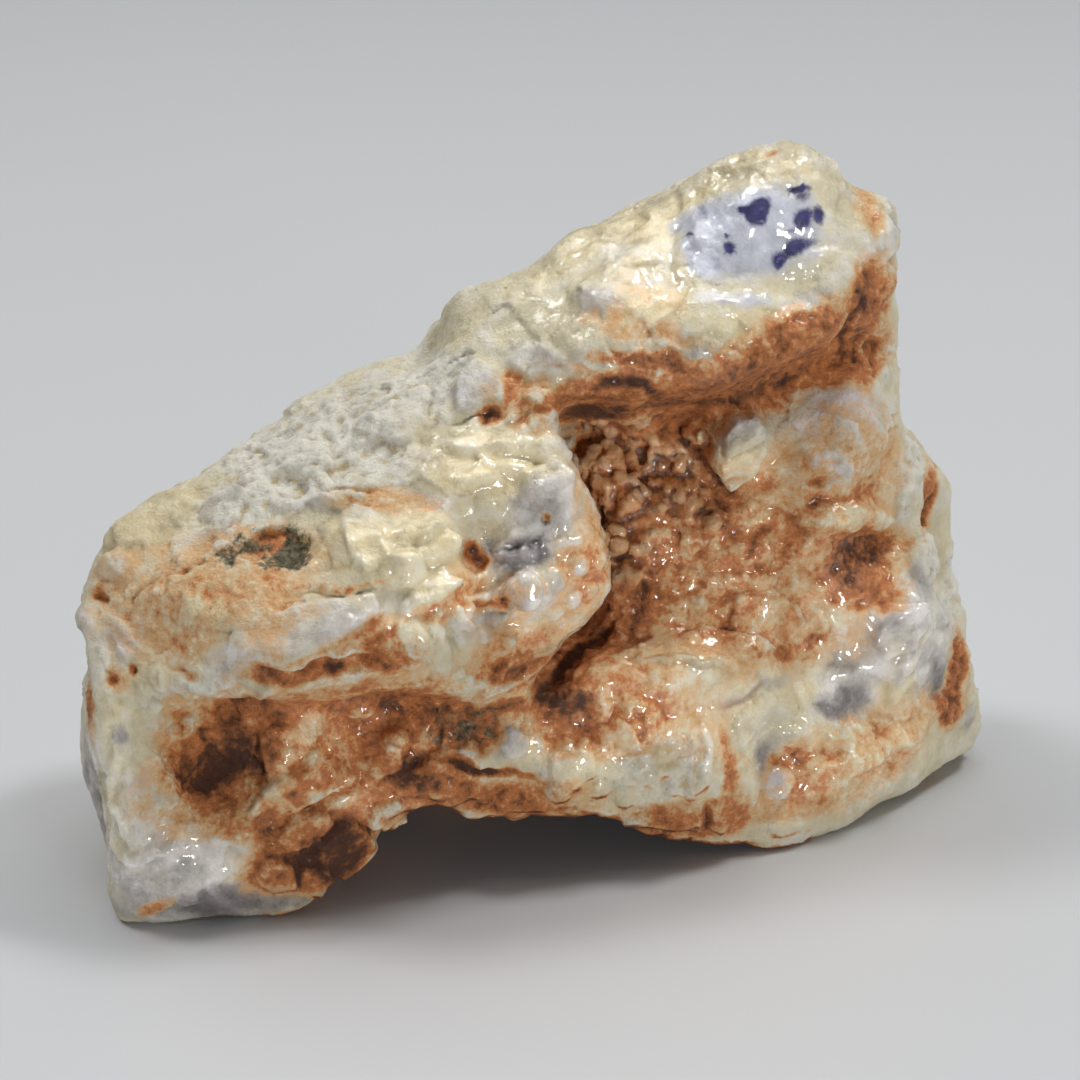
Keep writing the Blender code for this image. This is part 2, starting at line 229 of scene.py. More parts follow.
# Flat-topped shards with a crisp outline: their corners in pixels, clockwise, and how far they are raised, in mm.
SHARDS = {
    "tooth": (((706, 458), (716, 428), (734, 411), (756, 406), (771, 428), (768, 446), (757, 470), (730, 488)), 1.3, (0.25, -0.15)),
    "tooth face": (((719, 429), (734, 413), (755, 407), (768, 428), (749, 447), (722, 453)), 0.8, (-0.30, 0.20)),
    "small tooth": (((682, 424), (696, 412), (707, 424), (703, 441), (687, 441)), 1.0, (0.21, 0.19)),
    "white block": (((364, 824), (372, 803), (398, 798), (410, 810), (398, 825), (380, 829)), 0.8, (0.2, 0.1)),
    "smoky wedge": (((276, 838), (296, 814), (326, 810), (334, 822), (312, 848), (286, 854)), 0.8, (-0.21, -0.05)),
    "crumb facet": (((496, 744), (508, 724), (530, 735), (523, 757), (504, 759)), 0.8, (-0.16, 0.18)),
    "crumb facet 2": (((454, 752), (474, 737), (484, 752), (470, 763)), 0.6, (0.20, -0.15)),
    "brick": (((618, 823), (650, 808), (703, 801), (703, 828), (668, 839), (640, 835)), 0.5, (0.15, -0.17)),
    "brick block": (((706, 802), (745, 795), (749, 826), (722, 836), (707, 828)), 0.35, (0.2, 0.0)),
    "base tip": (((494, 800), (512, 786), (545, 796), (548, 814), (518, 834), (506, 822)), 0.35, (0.0, -0.2)),
    "crag": (((318, 836), (352, 816), (373, 838), (368, 866), (338, 881), (317, 866)), 0.7, (-0.15, 0.08)),
    "crag knob": (((250, 880), (268, 856), (294, 862), (297, 888), (272, 897)), 0.9, (-0.21, -0.20)),
    "crag knob 2": (((296, 896), (300, 866), (322, 862), (334, 878), (318, 900)), 0.6, (-0.20, -0.18)),
    "toe face": (((119, 854), (160, 845), (202, 866), (198, 906), (142, 917), (121, 902)), 0.35, (-0.12, -0.17)),
    "white ridge": (((184, 542), (200, 508), (232, 488), (250, 494), (241, 521), (206, 543)), 0.7, (-0.21, -0.16)),
    "grey plane": (((234, 660), (262, 616), (310, 600), (374, 592), (382, 612), (330, 648), (280, 668)), 0.5, (-0.20, -0.00)),
    "head edge": (((868, 204), (894, 196), (903, 246), (884, 264)), 0.4, (0.04, 0.21)),
    "slope step": (((250, 470), (292, 440), (330, 446), (336, 470), (290, 484)), 0.5, (-0.22, -0.13)),
    "slope step 2": (((352, 434), (392, 402), (432, 404), (440, 430), (400, 446)), 0.5, (0.21, 0.03)),
    "knot slab": (((236, 706), (252, 696), (266, 704), (258, 716), (242, 716)), 0.6, (0.12, 0.19)),
    "face slab": (((790, 520), (820, 500), (880, 504), (908, 520), (880, 534), (812, 540)), 0.5, (0.15, -0.21)),
    "lobe slab": (((866, 640), (884, 612), (926, 598), (936, 616), (910, 646), (884, 660)), 0.5, (-0.21, -0.04)),
    "end flake": (((96, 560), (110, 550), (122, 566), (116, 582), (100, 580)), 0.5, (0.21, -0.09)),
    "root slab": (((350, 760), (372, 742), (400, 748), (404, 770), (376, 782)), 0.6, (-0.21, 0.17)),
    "rib slab": (((246, 812), (272, 780), (304, 750), (322, 748), (308, 776), (276, 806), (252, 820)), 0.5, (0.1, 0.1)),
    "olive slab": (((670, 640), (704, 626), (760, 636), (780, 652), (730, 664), (684, 660)), 0.5, (-0.16, -0.11)),
    "belly slab": (((548, 752), (566, 742), (594, 750), (598, 776), (574, 790), (550, 780)), 0.45, (-0.15, 0.02)),
    "under ledge": (((596, 390), (640, 382), (652, 396), (626, 410), (600, 408)), 0.5, (-0.18, 0.19)),
}

# Round beads and knobs: place and radius in pixels, then how far each stands out, in radii.
BEADS = {
    "pearl": (522, 592, 21, 0.95),
    "bead": (488, 596, 9, 0.7),
    "bead 2": (470, 622, 11, 0.7),
    "bead 3": (486, 636, 10, 0.7),
    "bead 4": (500, 622, 9, 0.7),
    "bead 5": (498, 606, 8, 0.7),
    "bead 6": (478, 610, 8, 0.7),
    "bead 7": (508, 640, 9, 0.6),
    "bead 8": (462, 640, 8, 0.6),
    "eye bead": (505, 572, 8, 0.6),
    "lobe drop": (556, 580, 13, 0.5),
    "lobe drop 2": (580, 565, 12, 0.5),
    "lobe drop 3": (572, 600, 12, 0.5),
    "lobe drop 4": (590, 590, 10, 0.5),
    "lobe drop 5": (556, 612, 11, 0.5),
    "lobe drop 6": (600, 560, 10, 0.5),
    "big grain": (612, 540, 18, 0.7),
    "big grain 2": (630, 500, 14, 0.7),
    "big grain 3": (596, 500, 12, 0.6),
    "big grain 4": (640, 545, 13, 0.6),
    "big grain 5": (585, 470, 11, 0.6),
    "small tooth 2": (704, 438, 8, 0.7),
    "pit pearl": (778, 784, 19, 0.45),
    "toe bead 2": (846, 742, 10, 0.3),
    "toe bead 3": (874, 758, 10, 0.35),
    "face bead": (700, 605, 9, 0.5),
    "face bead 2": (718, 590, 8, 0.5),
    "face bead 3": (742, 600, 9, 0.5),
    "face bead 4": (690, 640, 10, 0.5),
    "root bead": (395, 742, 16, 0.5),
    "root bead 2": (362, 706, 18, 0.4),
    "knot": (160, 676, 12, 0.7),
    "knot 2": (174, 700, 10, 0.7),
    "knot 3": (188, 724, 11, 0.7),
    "knot 4": (152, 706, 9, 0.6),
    "belly bead": (601, 710, 12, 0.5),
    "belly bead 2": (606, 734, 11, 0.45),
    "belly dome": (637, 725, 29, 0.42),
    "belly pearl": (569, 744, 6, 0.6),
    "belly knob 2": (602, 788, 12, 0.5),
    "belly knob 3": (558, 792, 14, 0.4),
    "belly knob 4": (624, 802, 9, 0.4),
    "belly bead 3": (662, 775, 7, 0.4),
    "belly bump": (702, 742, 16, 0.3),
}

# The kinds of mineral, with painted shade and painted light among their marks. Each mark is a place, two radii and a
# turn as above, then how much of it is there.
MINERALS = {
    "ochre": {
        "crown": (765, 165, 62, 16, 0, 0.6),
        "crown left": (690, 190, 34, 14, 30, 0.5),
        "head left": (630, 225, 70, 34, 30, 0.75),
        "head low": (655, 300, 40, 30, 0, 0.85),
        "cheek": (560, 275, 50, 18, 18, 0.6),
        "jaw stripe": (684, 280, 9, 36, -16, 1.0),
        "sill": (750, 325, 46, 10, 12, 0.7),
        "head right": (866, 205, 14, 30, 10, 0.9),
        "wet lumps": (485, 465, 62, 40, 0, 0.9),
        "shoulder foot": (450, 535, 60, 26, 0, 0.7),
        "drape": (420, 585, 46, 34, 0, 0.75),
        "left drape": (355, 550, 60, 30, 0, 0.75),
        "left brow": (155, 520, 58, 30, 32, 0.95),
        "left slope": (190, 605, 80, 45, 0, 0.75),
        "left end": (135, 700, 40, 40, 0, 0.6),
        "side": (112, 800, 10, 90, 0, 0.7),
        "olive": (710, 655, 80, 20, -12, 0.9),
        "olive 2": (690, 610, 40, 26, 0, 0.55),
        "belly low": (620, 790, 70, 22, 0, 0.6),
        "belly spot": (668, 760, 12, 12, 0, 0.8),
        "right toe": (860, 750, 100, 36, 18, 0.9),
        "right seam": (780, 700, 50, 26, 28, 0.75),
        "lobe stripe": (900, 668, 17, 44, -18, 1.0),
        "lobe low": (880, 715, 30, 20, 0, 0.6),
        "tooth": (736, 458, 28, 24, 20, 1.0),
        "small tooth": (692, 430, 13, 13, 0, 0.9),
        "face band": (860, 515, 60, 18, 6, 0.75),
        "face": (760, 520, 40, 30, 0, 0.35),
        "root": (330, 745, 60, 26, 20, 0.5),
        "pale rib": (283, 782, 13, 50, -48, 1.0),
        "slope top": (190, 490, 50, 6, 26, 0.8),
        "back end": (470, 320, 40, 12, 26, 0.5),
        # Partly ochre, partly painted shade: head mid darkens the top of the head to offset the key light and sheen on
        # it.
        "head mid": (645, 268, 60, 30, 0, 0.5),
    },
    "chalk": {
        "shoulder": (300, 455, 110, 46, 22, 0.95),
        "shoulder right": (410, 385, 100, 36, 18, 0.8),
        "shoulder foot": (390, 465, 46, 26, 0, 0.95),
        "slope": (225, 508, 60, 26, 8, 1.0),
        "white ridge": (215, 500, 46, 8, 6, 0.9),
        "slope low": (290, 495, 34, 14, 0, 0.9),
        "left end": (135, 610, 40, 40, 0, 0.7),
        "left end low": (110, 665, 24, 40, 0, 0.6),
        "nub": (184, 562, 11, 9, 0, 1.0),
        "nub 2": (212, 598, 12, 10, 0, 0.7),
        "knots": (170, 705, 24, 36, 30, 0.8),
        "shelf white": (210, 688, 50, 14, 14, 0.8),
        "shelf speck": (292, 608, 16, 10, -20, 0.8),
        "right edge": (930, 565, 28, 28, 30, 1.0),
        "right edge top": (912, 470, 11, 64, -6, 0.9),
        "far edge": (952, 590, 10, 60, -8, 0.8),
        "face top": (885, 410, 22, 30, 0, 0.5),
        "white block": (388, 811, 22, 14, 18, 1.0),
        "head facet": (889, 215, 7, 28, 0, 0.8),
        "belly lip": (690, 662, 56, 7, -4, 0.8),
        "oval": (232, 830, 24, 14, 0, 0.5),
        "back end": (408, 338, 18, 8, 30, 0.8),
        "ledge foot": (885, 370, 14, 24, 0, 0.6),
        "crown": (735, 168, 50, 14, 6, 0.4),
        "crumbs": (462, 726, 40, 24, 8, 0.5),
        "pale rib": (288, 776, 8, 38, -48, 0.5),
        # Painted light: belly low whitens the belly's lower part, which faces down and gets little light; partly pale
        # opal.
        "belly low": (664, 772, 50, 30, 0, 0.9),
        # Painted light: tooth whitens the tooth's facet, which is turned away from the key light.
        "tooth": (740, 428, 28, 27, 30, 0.9),
        "small tooth": (694, 430, 12, 12, 0, 0.7),
    },
    "grey": {
        "blister": (600, 300, 22, 16, -20, 0.85),
        "ledge band": (655, 362, 70, 11, -4, 0.8),
        "ledge patch": (705, 374, 28, 12, 0, 0.8),
        "head right": (878, 250, 18, 26, 0, 0.7),
        "head corner": (892, 215, 5, 30, 0, 0.5),
        "sill right": (800, 310, 40, 16, 30, 0.8),
        "sill": (728, 303, 30, 10, 0, 0.5),
        "brow": (545, 362, 36, 18, -14, 0.7),
        "shoulder": (470, 390, 40, 16, 6, 0.6),
        "shoulder 2": (330, 420, 60, 14, 16, 0.4),
        "shoulder 3": (425, 500, 26, 10, -16, 0.8),
        "scar": (318, 490, 12, 8, 0, 0.7),
        "scar 2": (330, 508, 40, 8, -4, 0.5),
        "shelf": (320, 628, 84, 24, 12, 0.75),
        "shelf left": (235, 660, 30, 24, 30, 0.6),
        "lobe": (895, 620, 66, 34, 36, 0.85),
        "lobe mid": (860, 670, 34, 36, 0, 0.85),
        "cup": (848, 706, 34, 20, 0, 1.0),
        "lobe right": (930, 670, 20, 34, 0, 1.0),
        "lobe edge": (945, 620, 12, 30, 0, 0.7),
        "seam": (750, 690, 56, 7, 16, 0.7),
        "pit": (776, 785, 22, 24, 0, 0.9),
        "pit side": (762, 752, 14, 22, 0, 0.7),
        "pit lintel": (790, 738, 18, 8, 0, 0.6),
        "left lobe": (545, 515, 36, 36, 20, 0.9),
        "eye lid": (518, 555, 40, 20, -8, 1.0),
        "flutes": (575, 585, 40, 42, 0, 0.7),
        "beads": (485, 628, 30, 24, 0, 0.7),
        "striated": (500, 665, 56, 22, 12, 0.45),
        "tooth": (742, 425, 22, 18, 30, 0.8),
        "face oval": (824, 470, 28, 16, -8, 0.8),
        "face top": (840, 412, 54, 26, 10, 0.85),
        "face top 2": (865, 430, 30, 16, 0, 0.5),
        "face wedge": (683, 530, 12, 10, 0, 0.7),
        "face left": (690, 585, 30, 18, 30, 0.4),
        "toe face": (165, 872, 66, 44, 0, 0.9),
        "toe base": (240, 895, 62, 10, 10, 1.0),
        "toe mid": (230, 860, 30, 14, 10, 0.6),
        "toe wedge": (292, 832, 26, 15, 30, 0.85),
        "toe upper": (150, 790, 34, 44, 0, 0.6),
        "end glass": (122, 738, 10, 10, 0, 0.9),
        "end": (93, 780, 14, 70, 0, 0.9),
        "end knob": (118, 568, 14, 15, 0, 0.7),
        "end knob 2": (85, 620, 8, 20, 0, 0.8),
        "crumb facets": (508, 740, 20, 18, 0, 0.9),
        "crumb facets 2": (465, 752, 16, 8, 0, 0.8),
        "belly beads": (604, 722, 18, 20, 0, 0.5),
        "root": (385, 700, 20, 20, 0, 0.5),
        "right end": (972, 640, 9, 70, -8, 0.9),
        "right foot": (966, 720, 14, 16, 0, 0.8),
        "slope knob": (205, 540, 30, 8, 6, 0.5),
        "pearl": (522, 594, 20, 20, 0, 0.8),
        "lobe glow": (560, 560, 50, 50, 0, 0.5),
        "toe foot": (190, 912, 80, 10, -4, 0.9),
        # Painted shade: head mid greys the top of the head to offset the key light and sheen on it.
        "head mid": (645, 268, 50, 26, 0, 0.4),
        "left top": (118, 632, 40, 26, 0, 0.6),
    },
    # Smoke is dark clear opal, and also painted shade: the toe base, toe foot, crag foot, striated and pearl left marks
    # darken places in shade.
    "smoke_and_shade": {
        "lilac": (520, 556, 32, 17, -10, 1.0),
        "flute ditch": (503, 566, 7, 14, 30, 0.6),
        # Painted shade: toe base darkens the toe's bottom edge by the floor, where it lies in shade, over grey-violet
        # opal.
        "toe base": (240, 898, 80, 18, 6, 1.0),
        "cup": (846, 704, 30, 16, 0, 0.9),
        "lobe crease": (842, 668, 12, 30, -38, 0.5),
        "lobe right": (938, 680, 10, 28, -10, 0.8),
        "crumb facets": (478, 745, 14, 8, 0, 0.6),
        "seam": (745, 694, 40, 4, 16, 0.5),
        "end glass": (120, 735, 8, 9, 0, 0.5),
        "wedge": (318, 842, 12, 10, 0, 0.6),
        "ledge patch": (690, 380, 22, 8, 0, 0.4),
        "pit": (764, 770, 6, 18, 0, 0.5),
        "blister": (600, 316, 16, 4, -20, 0.4),
        # Painted shade: crag foot darkens the underside at the crag's foot, where shade falls.
        "crag foot": (352, 880, 20, 8, -20, 0.7),
        "toe": (160, 876, 42, 26, 0, 0.4),
        "crumb patch": (462, 728, 46, 26, 8, 0.75),
        "band": (655, 362, 60, 7, -4, 0.6),
        "band 2": (705, 352, 30, 9, -16, 0.6),
        "window": (770, 240, 40, 26, 14, 0.3),
        "head right": (880, 262, 14, 20, 0, 0.4),
        # Painted shade: striated darkens the lobe's lower part, which lies in shade.
        "striated": (515, 662, 56, 18, 14, 0.5),
        "pearl": (520, 600, 24, 18, 0, 0.7),
        # Painted shade: toe base 2 and toe foot darken the toe's foot by the floor, and pearl left darkens the side of
        # the pearl.
        "toe base 2": (180, 908, 40, 8, -6, 0.5),
        "pearl left": (497, 598, 8, 18, 0, 0.8),
        "toe foot": (236, 912, 56, 8, -6, 0.7),
        "lobe": (880, 625, 50, 28, 36, 0.4),
        "flutes": (575, 595, 34, 34, 0, 0.3),
    },
    "milk": {
        "window": (757, 232, 68, 48, 14, 1.0),
        "window left": (706, 235, 20, 40, 0, 1.0),
        "side window": (680, 225, 14, 14, 0, 0.7),
        "under window": (735, 300, 40, 10, 0, 0.6),
        "pit": (778, 775, 14, 12, 0, 0.7),
        "flutes": (590, 570, 20, 26, 0, 0.4),
        "window border": (770, 262, 60, 12, 20, 0.5),
        "face top": (835, 405, 34, 16, 10, 0.5),
    },
    "tan": {
        "face": (730, 570, 120, 90, 10, 0.95),
        "face right": (850, 470, 70, 70, 0, 0.75),
        "face foot": (780, 640, 90, 30, 0, 0.6),
        "belly": (600, 706, 92, 48, 0, 1.0),
        "belly right": (700, 720, 50, 60, 0, 0.3),
        "root": (378, 750, 84, 84, 0, 1.0),
        "toe upper": (180, 800, 50, 40, 0, 0.6),
        "slope": (200, 600, 120, 60, 8, 0.7),
        "left brow": (140, 580, 50, 30, 0, 0.5),
        "drape": (440, 612, 34, 14, 24, 0.8),
        "corner": (535, 405, 50, 24, -14, 0.8),
        "scar": (380, 500, 60, 14, -6, 0.6),
        "right toe": (900, 725, 60, 26, 20, 0.6),
        "right toe low": (840, 780, 80, 20, 20, 0.4),
        "base": (490, 800, 110, 30, -8, 1.0),
        "flute edge": (610, 600, 14, 50, -16, 0.7),
        # Painted shade: striated darkens the lobe's lower part, which lies in shade, over its tan.
        "striated": (520, 650, 60, 30, 14, 0.75),
        "head right": (866, 205, 16, 36, 10, 0.7),
        "head foot": (640, 330, 60, 10, -10, 0.6),
        "pit": (800, 755, 22, 10, 0, 0.6),
        "ledge band": (650, 362, 90, 14, 0, 0.7),
        "shelf": (320, 660, 90, 16, 6, 0.6),
        "left lobe foot": (530, 690, 70, 26, 40, 0.8),
        "lobe foot": (480, 690, 60, 18, 10, 0.7),
        "hollow": (625, 490, 76, 110, 0, 0.9),
        "chalk right": (850, 605, 40, 20, 20, 0.4),
        "moss halo": (262, 548, 54, 26, 0, 0.6),
        "toe right": (845, 775, 100, 34, 20, 0.7),
        "flutes": (590, 580, 34, 44, 0, 0.8),
        "head glow": (640, 300, 60, 30, 0, 0.3),
        "pearl": (522, 596, 22, 20, 0, 0.5),
        "crag": (320, 850, 60, 44, -20, 1.0),
        "dark hollow": (225, 750, 60, 70, -24, 1.0),
        "brick": (680, 822, 76, 20, 6, 1.0),
        "gash": (856, 562, 70, 34, 12, 1.0),
        "ochre band": (260, 754, 20, 34, -44, 1.0),
        "eye": (470, 577, 24, 20, 0, 0.7),
        "shelf edge": (380, 655, 40, 30, 0, 1.0),
    },
    "rust": {
        "ledge": (760, 375, 150, 34, 15, 1.0),
        "ledge left": (600, 388, 52, 16, 14, 1.0),
        "ledge right": (868, 320, 26, 60, -8, 1.0),
        "ledge mid": (800, 335, 60, 24, 30, 1.0),
        "hollow": (640, 470, 78, 66, 0, 1.0),
        "hollow foot": (612, 560, 42, 56, 26, 1.0),
        "hollow seam": (640, 600, 22, 60, -26, 0.9),
        "valley": (580, 655, 80, 24, 44, 1.0),
        "belly": (585, 712, 52, 38, -10, 0.8),
        "belly mid": (640, 728, 14, 24, 0, 0.5),
        "belly knob": (640, 716, 32, 28, 0, 0.75),
        "gash": (856, 556, 58, 24, 12, 1.0),
        "gash low": (856, 588, 52, 20, 0, 1.0),
        "edge line": (926, 505, 7, 46, -6, 0.9),
        "face smear": (700, 540, 60, 22, 26, 0.75),
        "face smear 2": (690, 570, 34, 30, 0, 0.6),
        "face smear 3": (760, 570, 50, 30, 0, 0.5),
        "face spot": (727, 622, 13, 9, 0, 1.0),
        "face spot 2": (755, 648, 14, 9, 0, 0.9),
        "face spot 3": (785, 650, 16, 10, -10, 0.9),
        "face spot 4": (815, 640, 26, 7, 10, 0.7),
        "face spot 5": (665, 600, 20, 14, 0, 0.7),
        "face spot 6": (770, 480, 18, 12, 0, 0.5),
        "face spot 7": (815, 498, 14, 8, 0, 0.9),
        "face spot 8": (772, 525, 5, 18, -12, 0.8),
        "face spot 9": (640, 618, 18, 10, 0, 0.7),
        "base": (500, 805, 80, 22, -12, 1.0),
        "base left": (430, 775, 56, 30, 0, 0.95),
        "brick": (680, 823, 66, 17, 6, 1.0),
        "brick block": (735, 812, 16, 24, 0, 1.0),
        "brick line": (735, 770, 9, 44, 14, 0.75),
        "root": (350, 700, 90, 26, 0, 0.85),
        "root right": (425, 700, 46, 36, 0, 0.9),
        "root streak": (300, 795, 36, 6, -44, 0.7),
        "root low": (390, 760, 40, 34, 0, 0.7),
        "toe crag": (330, 845, 46, 40, -20, 1.0),
        "toe crag 2": (278, 872, 36, 22, 0, 1.0),
        "toe line": (270, 820, 14, 30, -10, 0.7),
        "toe specks": (235, 828, 20, 12, 0, 0.6),
        "shelf edge": (378, 650, 26, 28, 0, 0.9),
        "shelf edge 2": (320, 672, 60, 8, 8, 0.75),
        "shelf edge 3": (265, 672, 16, 10, -30, 0.9),
        "slope": (240, 590, 76, 16, 8, 0.55),
        "slope 2": (160, 575, 24, 24, 0, 0.4),
        "slope 3": (190, 640, 44, 14, -4, 0.5),
        "slope 4": (250, 530, 26, 10, 0, 0.45),
        "slope line": (340, 585, 40, 3, 4, 0.7),
        "rust pit": (493, 414, 15, 12, 0, 1.0),
        "corner": (540, 402, 30, 8, -10, 0.9),
        "corner 2": (512, 385, 10, 12, 0, 0.8),
        "eye": (473, 553, 12, 9, -40, 0.95),
        "beads": (485, 605, 26, 8, 0, 0.5),
        "drape": (450, 600, 22, 9, 30, 0.7),
        "flute edge": (608, 620, 12, 50, -26, 0.8),
        "right end": (958, 670, 11, 42, -6, 1.0),
        "right end low": (944, 712, 14, 18, 0, 1.0),
        "head spot": (650, 330, 28, 10, -26, 0.5),
        "head spot 2": (622, 315, 10, 8, 0, 0.4),
        "head stain": (765, 155, 14, 7, 20, 0.45),
        "left end": (90, 712, 7, 30, 0, 1.0),
        "left end 2": (102, 590, 5, 12, 0, 0.8),
        "left end 3": (115, 680, 12, 12, 0, 0.6),
        "knots": (180, 715, 12, 24, 20, 0.5),
        "toe stain": (152, 906, 24, 6, 22, 0.8),
        "dark hollow": (222, 757, 46, 68, -34, 1.0),
        "pit": (800, 755, 16, 10, 0, 0.7),
        "right knob": (875, 757, 8, 6, 0, 0.7),
        "oval": (190, 672, 22, 6, -12, 0.4),
        "moss halo": (255, 540, 20, 8, 0, 0.5),
        "moss halo 2": (240, 566, 14, 6, 0, 0.5),
        "belly block": (560, 790, 30, 10, -8, 0.5),
        "crag": (320, 858, 56, 34, -20, 1.0),
        "ochre band": (262, 750, 16, 36, -44, 1.0),
        "band": (650, 366, 100, 8, -2, 0.45),
        "belly wash": (602, 742, 44, 24, 0, 0.5),
        "hollow right": (694, 500, 50, 26, -10, 1.0),
        "face wash": (750, 560, 80, 50, 10, 0.4),
        "eye foot": (466, 582, 14, 10, 20, 0.6),
        "under tooth": (722, 494, 28, 10, -20, 0.8),
        "tooth left": (704, 462, 8, 14, 20, 0.8),
        # Painted shade: striated darkens the lobe's lower part, which lies in shade, over its rust.
        "striated": (515, 662, 54, 16, 14, 0.7),
        "root left": (314, 772, 26, 22, 0, 0.7),
        "toe crumbs": (850, 752, 90, 30, 18, 0.5),
        "eye side": (484, 562, 8, 7, 0, 0.7),
    },
    # Umber is dark iron crust, and also painted shade: the ledge shade, hollow, crag, brick and striated marks darken
    # places that lie in shade.
    "umber_and_shade": {
        "ledge shade": (600, 412, 42, 14, 10, 1.0),
        "ledge shade 2": (680, 405, 60, 12, 6, 0.75),
        "ledge shade 3": (790, 385, 60, 12, 24, 0.5),
        # Painted shade: hollow and hollow top darken the recess under the ledge, over its rust.
        "hollow": (700, 500, 50, 24, -10, 0.35),
        "hollow seam": (636, 590, 9, 56, -22, 0.65),
        "hollow top": (650, 430, 60, 14, 10, 0.3),
        "valley": (575, 660, 62, 9, 44, 1.0),
        "ledge crease": (862, 300, 14, 26, -20, 0.9),
        "ledge crease 2": (846, 335, 6, 40, -20, 0.8),
        "ledge crease 3": (866, 370, 30, 9, 30, 0.5),
        "gash 4": (860, 590, 34, 3, 20, 0.5),
        "dark hollow": (222, 755, 36, 60, -36, 1.0),
        "dark hollow top": (250, 706, 36, 14, 16, 0.62),
        "shelf crease": (300, 678, 60, 6, 4, 0.6),
        "shelf knob": (338, 668, 12, 8, 0, 1.0),
        "base seam": (478, 768, 60, 6, -12, 1.0),
        "base left": (415, 780, 44, 16, -20, 0.8),
        "base left 2": (420, 700, 30, 14, 0, 0.5),
        "crumb patch": (465, 728, 44, 28, 8, 0.6),
        "crumb patch 2": (508, 705, 22, 8, 8, 0.8),
        # Painted shade: toe crag and brick darken the underside at the stone's foot, where shade falls.
        "toe crag": (335, 846, 44, 20, -16, 1.0),
        "brick": (672, 822, 60, 14, 6, 0.6),
        "brick block": (725, 805, 16, 7, 0, 0.5),
        "eye": (480, 556, 6, 9, -30, 0.35),
        "rust pit": (490, 418, 7, 4, 0, 0.4),
        "pinhole": (133, 670, 3, 5, 0, 0.6),
        "pinhole 2": (113, 680, 3, 3, 0, 0.5),
        "knot hole": (163, 677, 3, 3, 0, 0.5),
        "oval": (192, 673, 20, 5, -12, 0.3),
        "right end low": (940, 715, 8, 14, 0, 0.8),
        "face eye": (819, 481, 12, 5, 0, 0.5),
        "eye floor": (478, 588, 18, 6, 20, 0.25),
        "bead ditch": (490, 605, 22, 5, 0, 0.6),
        "grey pit": (545, 522, 4, 4, 0, 0.4),
        "pit": (775, 758, 10, 5, 0, 0.6),
        # Painted shade: toe crag 2, crag foot and crag darken the underside at the crag's foot, where shade falls.
        "toe crag 2": (330, 850, 30, 16, -20, 0.7),
        "crag foot": (330, 872, 40, 16, -20, 1.0),
        "crag": (345, 850, 28, 24, 0, 0.9),
        "moss seat": (266, 545, 30, 16, 0, 0.45),
        "belly pool": (564, 702, 28, 24, 0, 0.9),
        "ledge shade 4": (625, 388, 36, 11, -4, 1.0),
        "band": (645, 361, 62, 9, -4, 0.8),
        "hollow foot": (612, 552, 34, 34, 0, 0.45),
        "root": (372, 728, 40, 26, 0, 0.65),
        "shelf edge": (376, 662, 30, 14, 0, 0.7),
        "ledge wash": (770, 372, 140, 28, 15, 0.4),
        "ledge right": (868, 330, 20, 50, -8, 0.6),
        # Painted shade: hollow right darkens the recess under the ledge, over its rust.
        "hollow right": (700, 498, 46, 24, -10, 0.55),
        # Painted shade: striated darkens the lobe's lower part, which lies in shade.
        "striated": (515, 664, 50, 13, 14, 0.7),
        "ochre band": (266, 750, 12, 24, -44, 0.4),
    },
    "flame": {
        "lobe": (880, 700, 13, 6, -40, 1.0),
        "lobe 2": (885, 692, 10, 4, 30, 0.8),
        "head": (598, 274, 8, 8, 0, 0.9),
        "scar": (335, 484, 44, 8, -4, 0.65),
        "scar 2": (382, 520, 14, 12, 0, 0.7),
        "scar 3": (350, 516, 30, 4, 0, 0.6),
        "slope line": (340, 585, 40, 3, 4, 0.9),
        "slope": (235, 585, 40, 10, 6, 0.5),
        "moss": (238, 565, 4, 6, 0, 0.9),
        "knots": (180, 720, 16, 24, 20, 0.5),
        "toe": (156, 845, 8, 8, 0, 0.8),
        "toe line": (140, 836, 24, 3, 6, 0.5),
        "toe pink": (170, 800, 22, 22, 0, 0.55),
        "root": (303, 790, 10, 8, 0, 0.7),
        "root 2": (330, 763, 8, 5, 0, 0.8),
        "root 3": (315, 775, 7, 6, 0, 0.7),
        "base": (500, 790, 50, 8, -10, 0.4),
        "brick line": (735, 765, 7, 40, 14, 0.6),
        "brick": (735, 818, 14, 16, 0, 0.5),
        "edge": (922, 510, 5, 34, -6, 0.6),
        "face": (830, 640, 12, 6, 20, 0.5),
        "ledge": (590, 380, 26, 8, 14, 0.5),
        "hollow edge": (578, 480, 5, 22, 12, 0.7),
        "drape": (452, 603, 16, 7, 30, 0.6),
        "right end": (960, 680, 7, 30, -6, 0.5),
        "gash": (880, 540, 30, 6, 10, 0.4),
        "spot": (800, 665, 8, 5, 0, 0.7),
        "spot 2": (787, 697, 7, 5, 0, 0.7),
    },
    "moss": {
        "spot": (293, 545, 12, 20, -12, 1.0),
        "spot foot": (285, 560, 22, 9, 6, 1.0),
        "spot 2": (254, 546, 11, 7, -20, 0.95),
        "spot 3": (228, 560, 11, 10, 0, 0.8),
        "haze": (262, 545, 44, 22, 0, 0.35),
        "crumb patch": (466, 727, 42, 22, 8, 0.45),
    },
    "violet": {
        "fleck": (760, 205, 13, 9, 15, 1.0),
        "fleck foot": (757, 215, 9, 10, 0, 1.0),
        "fleck side": (745, 207, 5, 4, 0, 0.8),
        "drop": (729, 247, 7, 7, 30, 1.0),
        "drop 2": (727, 233, 4, 2, 20, 0.9),
        "edge fleck": (689, 236, 4, 3, 30, 0.9),
        "cap": (799, 190, 12, 3, 4, 1.0),
        "cap foot": (803, 197, 7, 5, -20, 0.6),
        "cluster": (803, 216, 8, 10, -30, 1.0),
